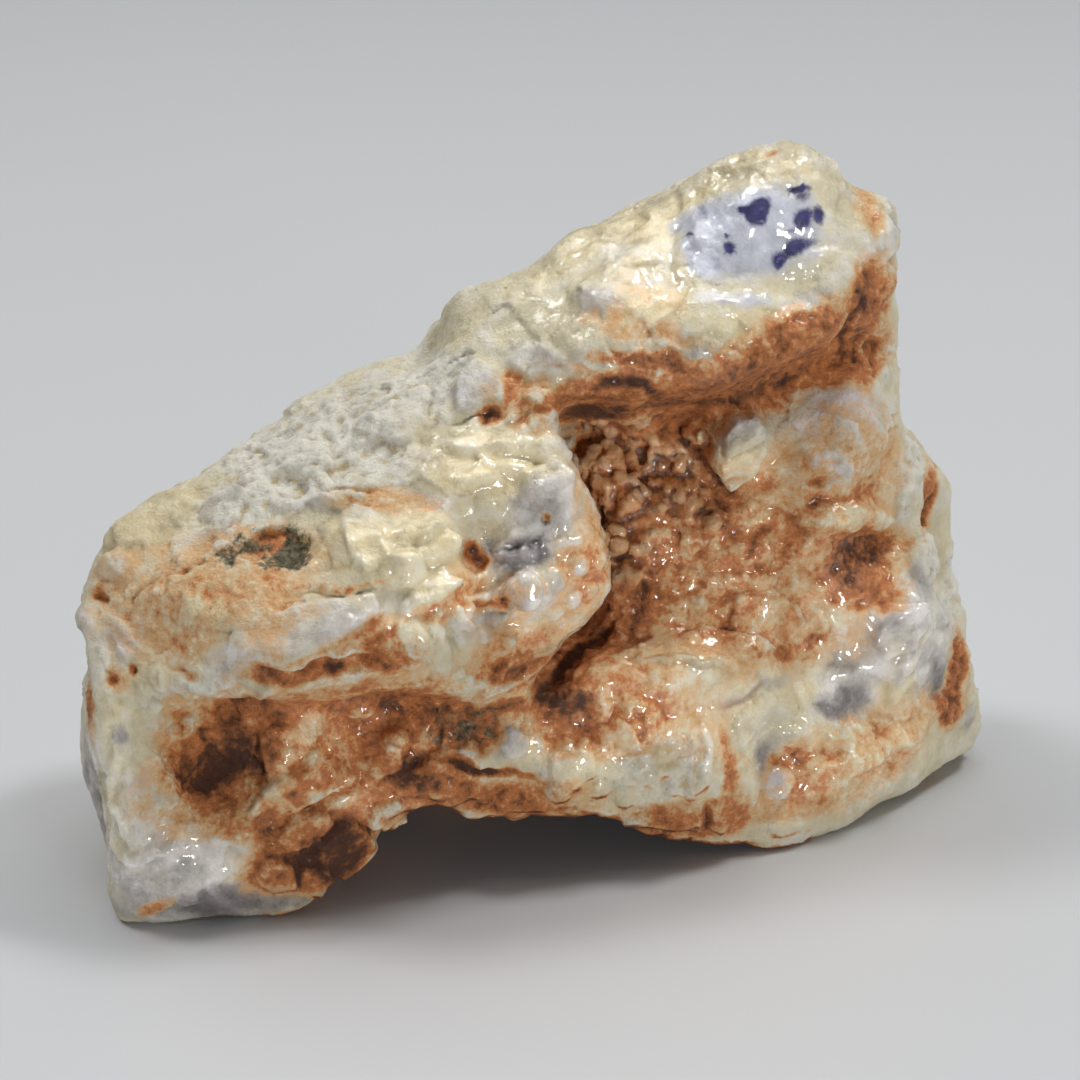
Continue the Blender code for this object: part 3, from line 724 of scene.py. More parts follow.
        "cluster 2": (819, 214, 6, 8, 0, 0.8),
        "cluster 3": (794, 228, 9, 3, 20, 0.6),
        "streak": (793, 248, 16, 8, 34, 1.0),
        "streak foot": (778, 262, 8, 7, 50, 1.0),
        "streak head": (809, 240, 14, 4, 20, 0.6),
        "curve": (716, 284, 10, 2, -8, 0.45),
        "curve 2": (729, 279, 6, 2, 28, 0.45),
        "smudge": (702, 212, 9, 11, 0, 0.5),
        "haze": (785, 232, 30, 20, 0, 0.3),
        "haze 2": (720, 262, 20, 12, 0, 0.25),
        "pit side": (762, 752, 10, 20, 0, 0.4),
        "lobe right": (936, 690, 14, 20, 0, 0.35),
    },
    "wet": {
        "head": (700, 245, 190, 90, 14, 1.0),
        "ledge": (640, 370, 110, 24, 4, 0.6),
        "lumps": (490, 460, 70, 46, 0, 0.9),
        "drape": (430, 580, 80, 60, 0, 0.9),
        "flutes": (560, 580, 60, 80, 0, 0.95),
        "hollow": (640, 500, 80, 90, 0, 0.7),
        "tooth": (735, 440, 36, 36, 0, 1.0),
        "face": (760, 560, 130, 110, 0, 0.45),
        "belly": (640, 720, 120, 80, 0, 1.0),
        "lobe": (880, 650, 90, 80, 0, 0.95),
        "right toe": (850, 760, 110, 50, 0, 0.75),
        "toe": (180, 870, 90, 40, 0, 0.8),
        "root": (350, 760, 100, 80, 0, 0.6),
        "end": (110, 780, 30, 100, 0, 0.7),
        "beans": (380, 550, 60, 40, 0, 0.7),
    },
    "lined": {
        "hollow": (625, 470, 56, 56, 0, 1.0),
        "hollow foot": (612, 545, 36, 46, 20, 1.0),
        "hollow right": (680, 480, 40, 34, 0, 0.8),
        "under tooth": (690, 520, 30, 22, 0, 0.6),
        "bead nest": (480, 625, 22, 22, 0, 0.5),
        "knots": (175, 710, 16, 26, 24, 0.35),
        "pit": (785, 755, 18, 8, 0, 0.5),
    },
}
# Patches on the sides that the picture doesn't show: how many of each, and their smallest and largest radius, mm.
HIDDEN = {
    "ochre": (30, 5, 15),
    "chalk": (34, 5, 15),
    "grey": (26, 5, 14),
    "smoke_and_shade": (10, 2, 6),
    "milk": (3, 4, 6),
    "tan": (34, 8, 20),
    "rust": (64, 2.5, 10),
    "umber_and_shade": (26, 1.5, 6),
    "flame": (20, 1, 3),
    "moss": (3, 1.2, 2.5),
    "wet": (20, 8, 18),
    "lined": (4, 3, 6),
}
HIDDEN_SEED = 21


class StoneSettings(bpy.types.PropertyGroup):
    """Sizes and colours of the stone."""

    core_grain: FloatProperty(
        name="Core grain", description="Mesh size of the smoothed solid", default=0.8 * MM, unit="LENGTH"
    )
    skin_grain: FloatProperty(
        name="Skin grain", description="Mesh size of the finished skin", default=0.34 * MM, unit="LENGTH"
    )
    faces: IntProperty(name="Faces", description="Triangles left on the stone", default=194000)
    smoothing: IntProperty(name="Smoothing", description="Passes that soften the solid's facets", default=5)
    grain_gap: FloatProperty(
        name="Grain gap", description="Least distance between two grains", default=1.25 * MM, unit="LENGTH"
    )
    grain_smallest: FloatProperty(
        name="Smallest grain", description="Radius of the smallest grain", default=0.5 * MM, unit="LENGTH"
    )
    grain_largest: FloatProperty(
        name="Largest grain", description="Radius of the largest grain", default=1.15 * MM, unit="LENGTH"
    )
    cream: FloatVectorProperty(
        name="Cream", description="Plain opal", subtype="COLOR", default=(0.87, 0.775, 0.53)
    )
    white: FloatVectorProperty(
        name="White", description="Chalky crust", subtype="COLOR", default=(0.95, 0.90, 0.77)
    )
    yellow: FloatVectorProperty(
        name="Yellow", description="Waxy yellow opal", subtype="COLOR", default=(0.86, 0.70, 0.39)
    )
    grey: FloatVectorProperty(
        name="Grey", description="Clear grey-lilac opal", subtype="COLOR", default=(0.66, 0.62, 0.60)
    )
    milk: FloatVectorProperty(
        name="Milk", description="Bluish milk opal", subtype="COLOR", default=(0.60, 0.62, 0.71)
    )
    tan: FloatVectorProperty(
        name="Tan", description="Opal with a little rust in it", subtype="COLOR", default=(0.82, 0.50, 0.235)
    )
    rust: FloatVectorProperty(
        name="Rust", description="Iron stain", subtype="COLOR", default=(0.49, 0.17, 0.05)
    )
    # Umber also serves as painted shade under the ledge, in the hollow, at the stone's foot and on the undersides over
    # the arch.
    umber_and_shade: FloatVectorProperty(
        name="Umber", description="Dark iron crust", subtype="COLOR", default=(0.10, 0.034, 0.015)
    )
    flame: FloatVectorProperty(
        name="Flame", description="Orange and pink flecks", subtype="COLOR", default=(0.60, 0.20, 0.08)
    )
    moss: FloatVectorProperty(
        name="Moss", description="Green-black crust", subtype="COLOR", default=(0.035, 0.035, 0.016)
    )
    # Smoke also serves as painted shade at the toe's foot, the crag, the striated lobe and beside the pearl.
    smoke_and_shade: FloatVectorProperty(
        name="Smoke", description="Dark clear opal", subtype="COLOR", default=(0.16, 0.135, 0.14)
    )
    violet: FloatVectorProperty(
        name="Violet", description="Violet flecks", subtype="COLOR", default=(0.018, 0.016, 0.085)
    )


class StageSettings(bpy.types.PropertyGroup):
    """The floor and the lights."""

    floor: FloatVectorProperty(
        name="Floor", description="Colour of the floor", subtype="COLOR", default=(0.60, 0.61, 0.62)
    )
    sky: FloatProperty(name="Sky", description="Strength of the light from all round", default=0.12)
    key: FloatProperty(name="Key light", description="Power of the lamp high on the right", default=4.9, unit="POWER")
    left: FloatProperty(name="Left light", description="Power of the lamp high on the left", default=4.2, unit="POWER")
    roof: FloatProperty(name="Roof light", description="Power of the wide light overhead", default=8.0, unit="POWER")
    front: FloatProperty(name="Front light", description="Power of the low light in front", default=3.2, unit="POWER")


def smoothstep(low, high, value):
    """0 below low, 1 above high, and a soft rise between."""
    t = np.clip((value - low) / (high - low), 0, 1)
    return t * t * (3 - 2 * t)


def read(mesh, what):
    """The points ("co") or the normals ("normal") of a mesh's vertices, one row each."""
    values = np.empty(len(mesh.vertices) * 3, np.float32)
    mesh.vertices.foreach_get(what, values)
    return values.reshape(-1, 3).astype(float)


def waves(points, spacing, shift=0.0, octaves=1):
    """Soft noise at each point, from about -1 to 1. spacing is the distance between its bumps, in metres."""
    offset = Vector((17.0, 5.0, 31.0)) * shift
    places = points / spacing
    if octaves == 1:
        return np.array([noise.noise(Vector(p) + offset) for p in places])
    return np.array([noise.fractal(Vector(p) + offset, 0.9, 2.1, octaves) for p in places])


def wander(points, wide, fine):
    """The points, each pushed about by up to wide and fine mm, so that marks measured from them get ragged edges."""
    slow = np.array([noise.noise_vector(Vector(p) / (5 * MM)) for p in points])
    quick = np.array([noise.noise_vector(Vector(p) / (1.6 * MM)) for p in points])
    return points + slow * wide * MM + quick * fine * MM


def spot(tree, x, y):
    """The place on the stone that a pixel of the picture shows, and the size of a pixel there, in metres."""
    way = (AHEAD + RIGHT * ((x - PICTURE / 2) / LENS) + UP * ((PICTURE / 2 - y) / LENS)).normalized()
    place = tree.ray_cast(EYE, way)[0]
    if place is None:
        place = tree.find_nearest(EYE + way * AWAY)[0]
    return place, (place - EYE).dot(AHEAD) / LENS


def brush(points, tree, mark, hard, soft):
    """The points a mark touches, and how strongly: all of it within hard of its radii and none past soft."""
    x, y, wide, high, turn, _ = mark
    place, pixel = spot(tree, x, y)
    angle = math.radians(turn)
    along = np.array(RIGHT * math.cos(angle) + UP * math.sin(angle))
    across = np.array(UP * math.cos(angle) - RIGHT * math.sin(angle))
    wide, high = (wide + 1) * pixel, (high + 1) * pixel
    deep = 1.2 * max(wide, high) + MM
    touched = np.flatnonzero((np.abs(points - np.array(place)) < deep * soft).all(axis=1))
    away = points[touched] - np.array(place)
    far = np.sqrt((away @ along / wide) ** 2 + (away @ across / high) ** 2 + (away @ np.array(AHEAD) / deep) ** 2)
    return touched, 1 - smoothstep(hard, soft, far)


def shard(points, normals, tree, corners, rise, tilt):
    """The points inside a shard's corners, how strongly, and the push that takes them to its flat, tilted top."""
    corners = np.array(corners, float)
    middle = corners.mean(axis=0)
    place, pixel = spot(tree, *middle)
    reach = 1.4 * np.linalg.norm(corners - middle, axis=1).max() * pixel
    touched = np.flatnonzero((np.abs(points - np.array(place)) < reach).all(axis=1))
    away = points[touched] - np.array(place)
    x, y = middle[0] + away @ np.array(RIGHT) / pixel, middle[1] - away @ np.array(UP) / pixel
    inside = np.full(len(touched), 99.0)
    for (x0, y0), (x1, y1) in zip(corners, np.roll(corners, -1, axis=0)):
        inside = np.minimum(inside, ((x1 - x0) * (y - y0) - (y1 - y0) * (x - x0)) / math.hypot(x1 - x0, y1 - y0))
    strength = smoothstep(0.0, 2.5, inside)
    out = (normals[touched] * strength[:, None]).sum(axis=0)
    out /= np.linalg.norm(out) + 1e-9
    facing = out + tilt[0] * np.array(RIGHT) + tilt[1] * np.array(UP)
    facing /= np.linalg.norm(facing) + 1e-9
    lift = np.clip(rise * MM - away @ facing, 0, 1.4 * rise * MM)
    return touched, strength, out * (lift * strength)[:, None]


def cover(points, tree, marks):
    """How much of one mineral each point has, painted mark by mark."""
    amount = np.zeros(len(points))
    for mark in marks.values():
        touched, strength = brush(points, tree, mark, 0.3, 1.6)
        amount[touched] += np.maximum(mark[5] - amount[touched], 0) * strength
    return amount


def cover_hidden(points, seeds, dice, count, smallest, largest):
    """How much of one mineral the hidden sides have, in patches at random places."""
    amount = np.zeros(len(points))
    for _ in range(count):
        middle = points[dice.choice(seeds)]
        radii = np.array([dice.uniform(smallest, largest) * MM for _ in range(3)])
        away = np.sqrt((((points - middle) / radii) ** 2).sum(axis=1))
        amount = np.maximum(amount, (1 - smoothstep(0.3, 1.5, away)) * dice.uniform(0.6, 1.0))
    return amount


def lay_minerals(points, normals, tree, kinds):
    """The amount of each kind of mineral, painted shade and light among them, at each point."""
    pushed, near = wander(points, 1.1, 0.5), wander(points, 0.5, 0.4)
    turned_away = smoothstep(-0.05, 0.3, normals @ np.array(AHEAD))
    seeds = np.flatnonzero(turned_away > 0.5)
    dice = random.Random(HIDDEN_SEED)
    laid = {}
    for kind in kinds:
        amount = cover(near if kind in ("violet", "milk", "moss") else pushed, tree, MINERALS[kind])
        if kind in HIDDEN:
            amount = np.maximum(amount, turned_away * cover_hidden(pushed, seeds, dice, *HIDDEN[kind]))
        laid[kind] = amount
    return laid


def store(mesh, name, values):
    """Keeps one number for each vertex on the mesh."""
    held = mesh.attributes.get(name) or mesh.attributes.new(name, "FLOAT", "POINT")
    held.data.foreach_set("value", np.asarray(values, np.float32))


def apply_modifiers(piece):
    """Swaps a piece's mesh for the one its modifiers make."""
    graph = bpy.context.evaluated_depsgraph_get()
    made = bpy.data.meshes.new_from_object(piece.evaluated_get(graph))
    piece.modifiers.clear()
    old, piece.data = piece.data, made
    bpy.data.meshes.remove(old)


def modify(piece, kind, **settings):
    """Adds one modifier to a piece and applies it at once."""
    modifier = piece.modifiers.new(kind.title(), kind)
    for name, value in settings.items():
        setattr(modifier, name, value)
    apply_modifiers(piece)


def copy_of_solid(name):
    """A new object with a merged copy of the solid's mesh."""
    bm = bmesh.new()
    bm.from_mesh(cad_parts["opal_stone"].data)
    bmesh.ops.remove_doubles(bm, verts=bm.verts, dist=1e-6)
    mesh = bpy.data.meshes.new(name)
    bm.to_mesh(mesh)
    bm.free()
    piece = bpy.data.objects.new(name, mesh)
    bpy.context.scene.collection.objects.link(piece)
    return piece


def grain_tree():
    """Geometry nodes that stud a surface with round grains where its "lined" attribute is high."""
    tree = bpy.data.node_groups.new("Round grains", "GeometryNodeTree")
    face = tree.interface
    face.new_socket("Stone", in_out="INPUT", socket_type="NodeSocketGeometry")
    gap = face.new_socket("Gap", in_out="INPUT", socket_type="NodeSocketFloat")
    smallest = face.new_socket("Smallest", in_out="INPUT", socket_type="NodeSocketFloat")
    largest = face.new_socket("Largest", in_out="INPUT", socket_type="NodeSocketFloat")
    seed = face.new_socket("Seed", in_out="INPUT", socket_type="NodeSocketInt")
    stuff = face.new_socket("Material", in_out="INPUT", socket_type="NodeSocketMaterial")
    face.new_socket("Stone", in_out="OUTPUT", socket_type="NodeSocketGeometry")
    new, link = tree.nodes.new, tree.links.new
    given, result = new("NodeGroupInput"), new("NodeGroupOutput")
    lined = new("GeometryNodeInputNamedAttribute")
    lined.data_type = "FLOAT"
    lined.inputs["Name"].default_value = "lined"
    scatter = new("GeometryNodeDistributePointsOnFaces")
    scatter.distribute_method = "POISSON"
    scatter.inputs["Density Max"].default_value = 1.5e6
    ball = new("GeometryNodeMeshUVSphere")
    ball.inputs["Segments"].default_value = 8
    ball.inputs["Rings"].default_value = 6
    ball.inputs["Radius"].default_value = 1.0
    size = new("FunctionNodeRandomValue")
    size.data_type = "FLOAT"
    place = new("GeometryNodeInstanceOnPoints")
    join = new("GeometryNodeJoinGeometry")
    realize = new("GeometryNodeRealizeInstances")
    finish = new("GeometryNodeSetMaterial")
    link(given.outputs["Stone"], scatter.inputs["Mesh"])
    link(given.outputs["Gap"], scatter.inputs["Distance Min"])
    link(lined.outputs["Attribute"], scatter.inputs["Density Factor"])
    link(given.outputs["Seed"], scatter.inputs["Seed"])
    link(given.outputs["Smallest"], size.inputs[2])
    link(given.outputs["Largest"], size.inputs[3])
    link(given.outputs["Seed"], size.inputs["Seed"])
    link(scatter.outputs["Points"], place.inputs["Points"])
    link(ball.outputs["Mesh"], place.inputs["Instance"])
    link(size.outputs[1], place.inputs["Scale"])
    link(given.outputs["Stone"], join.inputs["Geometry"])
    link(place.outputs["Instances"], join.inputs["Geometry"])
    link(join.outputs["Geometry"], realize.inputs["Geometry"])
    link(realize.outputs["Geometry"], finish.inputs["Geometry"])
    link(given.outputs["Material"], finish.inputs["Material"])
    link(finish.outputs["Geometry"], result.inputs["Stone"])
    named = {"gap": gap, "smallest": smallest, "largest": largest, "seed": seed, "material": stuff}
    return tree, {name: socket.identifier for name, socket in named.items()}


def grow_grains(piece, settings, finish):
    """Studs the stone's hollow with round grains."""
    tree, sockets = grain_tree()
    modifier = piece.modifiers.new("Round grains", "NODES")
    modifier.node_group = tree
    modifier[sockets["gap"]] = settings.grain_gap
    modifier[sockets["smallest"]] = settings.grain_smallest
    modifier[sockets["largest"]] = settings.grain_largest
    modifier[sockets["seed"]] = 4
    modifier[sockets["material"]] = finish
    apply_modifiers(piece)


def solid_tree(piece):
    """A tree for finding places on a piece's surface."""
    bm = bmesh.new()
    bm.from_mesh(piece.data)
    tree = BVHTree.FromBMesh(bm)
    bm.free()
    return tree


def cells(points, spacing, shift=0.0):
    """Rounded lumps packed side by side: 1 on top of each and near 0 in the creases between them."""
    offset = Vector((11.0, 23.0, 7.0)) * shift
    nearest = np.array([noise.voronoi(Vector(p) + offset)[0][0] for p in points / spacing])
    return 1 - np.minimum(nearest, 1) ** 2


def facets(points, spacing, shift=0.0):
    """Broken faces packed side by side, each tilted its own way with a small step to the next, from about -1 to 1."""
    offset = Vector((3.0, 19.0, 13.0)) * shift
    height = np.empty(len(points))
    for i, p in enumerate(points / spacing):
        place = Vector(p) + offset
        middle = noise.voronoi(place)[1][0]
        tilt = noise.cell_vector(middle * 7.3) - Vector((0.5, 0.5, 0.5))
        height[i] = (place - middle).dot(tilt) * 2 + tilt.x
    return height


def sculpt(piece, tree):
    """Raises and sinks the skin: named marks first, then roughness that suits each mineral."""
    points, normals = read(piece.data, "co"), read(piece.data, "normal")
    laid = lay_minerals(points, normals, tree, ("chalk", "rust", "umber_and_shade", "wet", "milk"))
    pushed = wander(points, 1.8, 0.7)
    height = np.zeros(len(points))
    steady = wander(points, 0.5, 0.3)
    for mark in RELIEF.values():
        touched, strength = brush(pushed if max(mark[2:4]) > 24 else steady, tree, mark, 0.2, 1.2)
        height[touched] += mark[5] * strength
    for mark in BLOCKS.values():
        touched, strength = brush(pushed if max(mark[2:4]) > 24 else steady, tree, mark, 0.7, 1.1)
        height[touched] += mark[5] * strength
    pushes, firm = np.zeros_like(points), np.zeros(len(points))
    for corners, rise, tilt in SHARDS.values():
        touched, strength, push = shard(points, normals, tree, corners, rise, tilt)
        pushes[touched] += push
        firm[touched] = np.maximum(firm[touched], strength)
    domes = np.zeros(len(points))
    for x, y, radius, rise in BEADS.values():
        place, pixel = spot(tree, x, y)
        away = np.linalg.norm(points - np.array(place), axis=1) / (radius * pixel)
        dome = rise * radius * pixel / MM * np.sqrt(np.clip(1 - away**2, 0, 1))
        domes = np.maximum(domes, dome)
    height += domes
    crusty = np.clip(np.maximum(laid["rust"], laid["umber_and_shade"]), 0, 1)
    chalky = np.clip(laid["chalk"] - crusty, 0, 1)
    waxy = 1 - np.maximum(crusty, chalky)
    calm = (1 - 0.7 * laid["milk"]) * (1 - 0.6 * smoothstep(0.0, 0.5, -normals[:, 2])) * (1 - 0.6 * firm)
    bent = wander(points, 0.7, 0.3)
    rear = smoothstep(-0.05, 0.3, normals @ np.array(AHEAD))
    height += (0.8 * waves(points, 9 * MM, 7) + 0.8 * waves(points, 17 * MM, 8)) * rear
    height += 0.30 * waves(points, 6 * MM, 1) * calm
    calm = calm * (1 - 0.6 * rear)
    height += 0.34 * facets(bent, 6 * MM, 1) * calm
    height += 0.22 * facets(bent, 2.6 * MM, 2) * (0.6 + 0.4 * crusty) * calm
    height += (0.30 * cells(bent, 3.4 * MM, 1) - 0.2) * (0.35 + 0.3 * waxy) * calm
    height += (0.17 * cells(bent, 1.4 * MM, 2) - 0.12) * (0.35 + 0.9 * crusty) * calm
    height += 0.10 * waves(points, 0.9 * MM, 5) * (0.6 + 0.4 * crusty)
    crumbs = waves(points, 1.2 * MM, 3, octaves=3)
    height += crumbs * (0.07 * waxy + 0.36 * crusty * calm + 0.38 * chalky)
    pits = np.clip(waves(points, 1.7 * MM, 4) - 0.35, 0, 1)
    height -= 1.1 * pits * chalky
    points += normals * (height * MM)[:, None] + pushes
    points[:, 2] = np.maximum(points[:, 2], 0)
    piece.data.vertices.foreach_set("co", points.astype(np.float32).ravel())
    piece.data.update()


def sunkenness(mesh, points, normals, passes=10):
    """How far each point lies below the level of the skin round it, in millimetres."""
    ends = np.empty(len(mesh.edges) * 2, np.int32)
    mesh.edges.foreach_get("vertices", ends)
    one, other = ends[::2], ends[1::2]
    count = np.bincount(ends, minlength=len(points)).astype(float)
    level = points.copy()
    for _ in range(passes):
        total = np.empty_like(level)
        for axis in range(3):
            total[:, axis] = np.bincount(one, level[other, axis], len(points))
            total[:, axis] += np.bincount(other, level[one, axis], len(points))
        level = 0.5 * level + 0.5 * total / count[:, None]
    return ((level - points) * normals).sum(axis=1) / MM


def thin_out(piece, faces):
    """Takes away triangles, more of them where the stone is turned away from the camera."""
    normals = read(piece.data, "normal")
    group = piece.vertex_groups.new(name="spare")
    spare = smoothstep(-0.1, 0.4, normals @ np.array(AHEAD))
    for share in (0, 1):
        group.add(np.flatnonzero((spare > 0.5) == bool(share)).tolist(), 0.35 + 0.65 * share, "REPLACE")
    triangles = 2 * len(piece.data.polygons)
    modify(piece, "DECIMATE", ratio=min(1.0, faces / triangles), vertex_group="spare", vertex_group_factor=1.0)
    piece.vertex_groups.clear()


def colour_in(piece, tree):
    """Keeps the amount of each mineral, with painted shade on the undersides over the arch, and how sunk the skin is,
    on the mesh for the material.
    """
    points, normals = read(piece.data, "co"), read(piece.data, "normal")
    laid = lay_minerals(points, normals, tree, MINERALS)
    # Painted shade: undersides low over the arch get umber as dark as the shade there, which also keeps light from
    # bouncing onto the floor under the arch; partly real iron stain, which runs along the arch's edge.
    arch_underside_shade = smoothstep(0.3, 0.8, -normals[:, 2]) * (points[:, 2] < 14 * MM) * (np.abs(points[:, 0]) < 32 * MM)
    laid["umber_and_shade"] = np.maximum(laid["umber_and_shade"], arch_underside_shade)
    for kind, amount in laid.items():
        store(piece.data, kind, amount)
    store(piece.data, "sunk", np.clip(0.5 + sunkenness(piece.data, points, normals, 10) / 0.7, 0, 1))
    store(piece.data, "deep", np.clip(0.5 + sunkenness(piece.data, points, normals, 60) / 2.4, 0, 1))


def new_group(name, inputs, outputs):
    """A shader node group with float or colour sockets, and its ends."""
    tree = bpy.data.node_groups.new(name, "ShaderNodeTree")
    for label, kind in inputs:
        tree.interface.new_socket(label, in_out="INPUT", socket_type=kind)
    for label, kind in outputs:
        tree.interface.new_socket(label, in_out="OUTPUT", socket_type=kind)
    return tree, tree.nodes.new("NodeGroupInput"), tree.nodes.new("NodeGroupOutput")


def math_node(tree, operation, one, other=None, clamp=False):
    """A Math node fed by sockets or plain numbers, and its result."""
    node = tree.nodes.new("ShaderNodeMath")
    node.operation = operation
    node.use_clamp = clamp
    for socket, value in zip(node.inputs, (one, other)):
        if value is None:
            continue
        if isinstance(value, (int, float)):
            socket.default_value = value
        else:
            tree.links.new(value, socket)
    return node.outputs[0]


def noise_node(tree, place, scale, detail=5.0, roughness=0.6, warp=0.0):
    """A Noise Texture on the given coordinates, and its value."""
    node = tree.nodes.new("ShaderNodeTexNoise")
    tree.links.new(place, node.inputs["Vector"])
    node.inputs["Scale"].default_value = scale
    node.inputs["Detail"].default_value = detail
    node.inputs["Roughness"].default_value = roughness
    node.inputs["Distortion"].default_value = warp
    return node.outputs["Fac"]


def ragged_group():
    """Turns a soft mask into one with ragged, fairly crisp edges."""
    floats = [(label, "NodeSocketFloat") for label in ("Mask", "Scale", "Ragged", "Soft")]
    tree, given, result = new_group(
        "Ragged mask", [("Vector", "NodeSocketVector"), *floats], [("Mask", "NodeSocketFloat")]
    )
    grain = tree.nodes.new("ShaderNodeTexNoise")
    grain.inputs["Detail"].default_value = 6
    grain.inputs["Roughness"].default_value = 0.65
    tree.links.new(given.outputs["Vector"], grain.inputs["Vector"])
    tree.links.new(given.outputs["Scale"], grain.inputs["Scale"])
    swing = math_node(tree, "MULTIPLY", math_node(tree, "SUBTRACT", grain.outputs["Fac"], 0.5), given.outputs["Ragged"])
    near = math_node(tree, "MULTIPLY", given.outputs["Mask"], 3.5, True)
    edge = math_node(tree, "ADD", given.outputs["Mask"], math_node(tree, "MULTIPLY", swing, near))
    step = tree.nodes.new("ShaderNodeMapRange")
    step.interpolation_type = "SMOOTHSTEP"
    tree.links.new(edge, step.inputs["Value"])
    tree.links.new(math_node(tree, "SUBTRACT", 0.5, given.outputs["Soft"]), step.inputs["From Min"])
    tree.links.new(math_node(tree, "ADD", 0.5, given.outputs["Soft"]), step.inputs["From Max"])
    tree.links.new(step.outputs["Result"], result.inputs["Mask"])
    return tree


def speck_group():
    """Small round specks, thick in places and sparse in others."""
    floats = [(label, "NodeSocketFloat") for label in ("Scale", "Size", "Patches")]
    tree, given, result = new_group(
        "Specks", [("Vector", "NodeSocketVector"), *floats], [("Mask", "NodeSocketFloat")]
    )
    cells = tree.nodes.new("ShaderNodeTexVoronoi")
    tree.links.new(given.outputs["Vector"], cells.inputs["Vector"])
    tree.links.new(given.outputs["Scale"], cells.inputs["Scale"])
    areas = tree.nodes.new("ShaderNodeTexNoise")
    areas.inputs["Detail"].default_value = 3
    tree.links.new(given.outputs["Vector"], areas.inputs["Vector"])
    tree.links.new(math_node(tree, "MULTIPLY", given.outputs["Scale"], 0.12), areas.inputs["Scale"])
    share = math_node(tree, "MULTIPLY", math_node(tree, "SUBTRACT", areas.outputs["Fac"], given.outputs["Patches"]), 3.0, True)
    limit = math_node(tree, "MULTIPLY", given.outputs["Size"], share)
    inside = math_node(tree, "SUBTRACT", limit, cells.outputs["Distance"])
    tree.links.new(math_node(tree, "MULTIPLY", inside, 12.0, True), result.inputs["Mask"])
    return tree


class Layers:
    """Builds the stone's material up in layers, each over the one before."""

    def __init__(self, name):
        self.material = bpy.data.materials.new(name)
        self.material.use_nodes = True
        self.tree = self.material.node_tree
        self.skin = self.tree.nodes["Principled BSDF"]
        coordinates = self.tree.nodes.new("ShaderNodeTexCoord")
        self.place = coordinates.outputs["Object"]
        self.ragged, self.specks = ragged_group(), speck_group()
        self.colour = None

    def amount(self, name):
        """The mask kept on the mesh under that name."""
        node = self.tree.nodes.new("ShaderNodeAttribute")
        node.attribute_name = name
        return node.outputs["Fac"]

    def group(self, group, **values):
        """One of the shared effects, with its own values, and its mask."""
        node = self.tree.nodes.new("ShaderNodeGroup")
        node.node_tree = group
        self.tree.links.new(self.place, node.inputs["Vector"])
        for label, value in values.items():
            if isinstance(value, (int, float)):
                node.inputs[label].default_value = value
            else:
                self.tree.links.new(value, node.inputs[label])
        return node.outputs["Mask"]

    def edge(self, mask, scale, ragged, soft):
        """A mask with ragged edges."""
        return self.group(self.ragged, Mask=mask, Scale=scale, Ragged=ragged, Soft=soft)

    def noise(self, scale, **values):
        return noise_node(self.tree, self.place, scale, **values)

    def math(self, operation, one, other=None, clamp=False):
        return math_node(self.tree, operation, one, other, clamp)

    def share(self, value, part):
        """A part of a value."""
        return self.math("MULTIPLY", value, part)

    def blend(self, one, other, share):
        """Two colours mixed by a mask."""
        node = self.tree.nodes.new("ShaderNodeMix")
        node.data_type = "RGBA"
        factor, first, second = (socket for socket in node.inputs if socket.enabled)
        for socket, value in ((factor, share), (first, one), (second, other)):
            if isinstance(value, (int, float)):
                socket.default_value = value
            elif isinstance(value, tuple):
                socket.default_value = (*value, 1)
            else:
                self.tree.links.new(value, socket)
        return next(socket for socket in node.outputs if socket.enabled)

    def lay(self, colour, share):
        """Lays a colour over what is there, by a mask."""
        self.colour = self.blend(self.colour, colour, share)

    def scale(self, value, low, high, floor=0.0, top=1.0):
        """A value stretched so that low gives floor and high gives top."""
        node = self.tree.nodes.new("ShaderNodeMapRange")
        node.interpolation_type = "SMOOTHSTEP"
        self.tree.links.new(value, node.inputs["Value"])
        for label, number in (("From Min", low), ("From Max", high), ("To Min", floor), ("To Max", top)):
            node.inputs[label].default_value = number
        return node.outputs["Result"]

    def tones(self, value, *stops):
        """A colour picked from a row of (place, colour) stops by a value."""
        node = self.tree.nodes.new("ShaderNodeValToRGB")
        row = node.color_ramp.elements
        for _ in stops[2:]:
            row.new(0.5)
        for stop, (place, colour) in zip(row, stops):
            stop.position = place
        for stop, (place, colour) in zip(row, stops):
            stop.color = (*colour, 1)
        self.tree.links.new(value, node.inputs["Fac"])
        return node.outputs["Color"]

    def grain(self, scale, spread, hollows, **values):
        """Noise round 0.5, lower in the hollows of the skin by the given share."""
        swing = self.math("MULTIPLY", self.math("SUBTRACT", self.noise(scale, **values), 0.5), spread)
        down = self.math("MULTIPLY", self.math("SUBTRACT", 0.5, self.sunk), hollows)
        return self.math("ADD", self.math("ADD", swing, down), 0.5, True)


def tint(colour, factor):
    """A colour made lighter or darker."""
    return tuple(min(channel * factor, 1.0) for channel in colour)


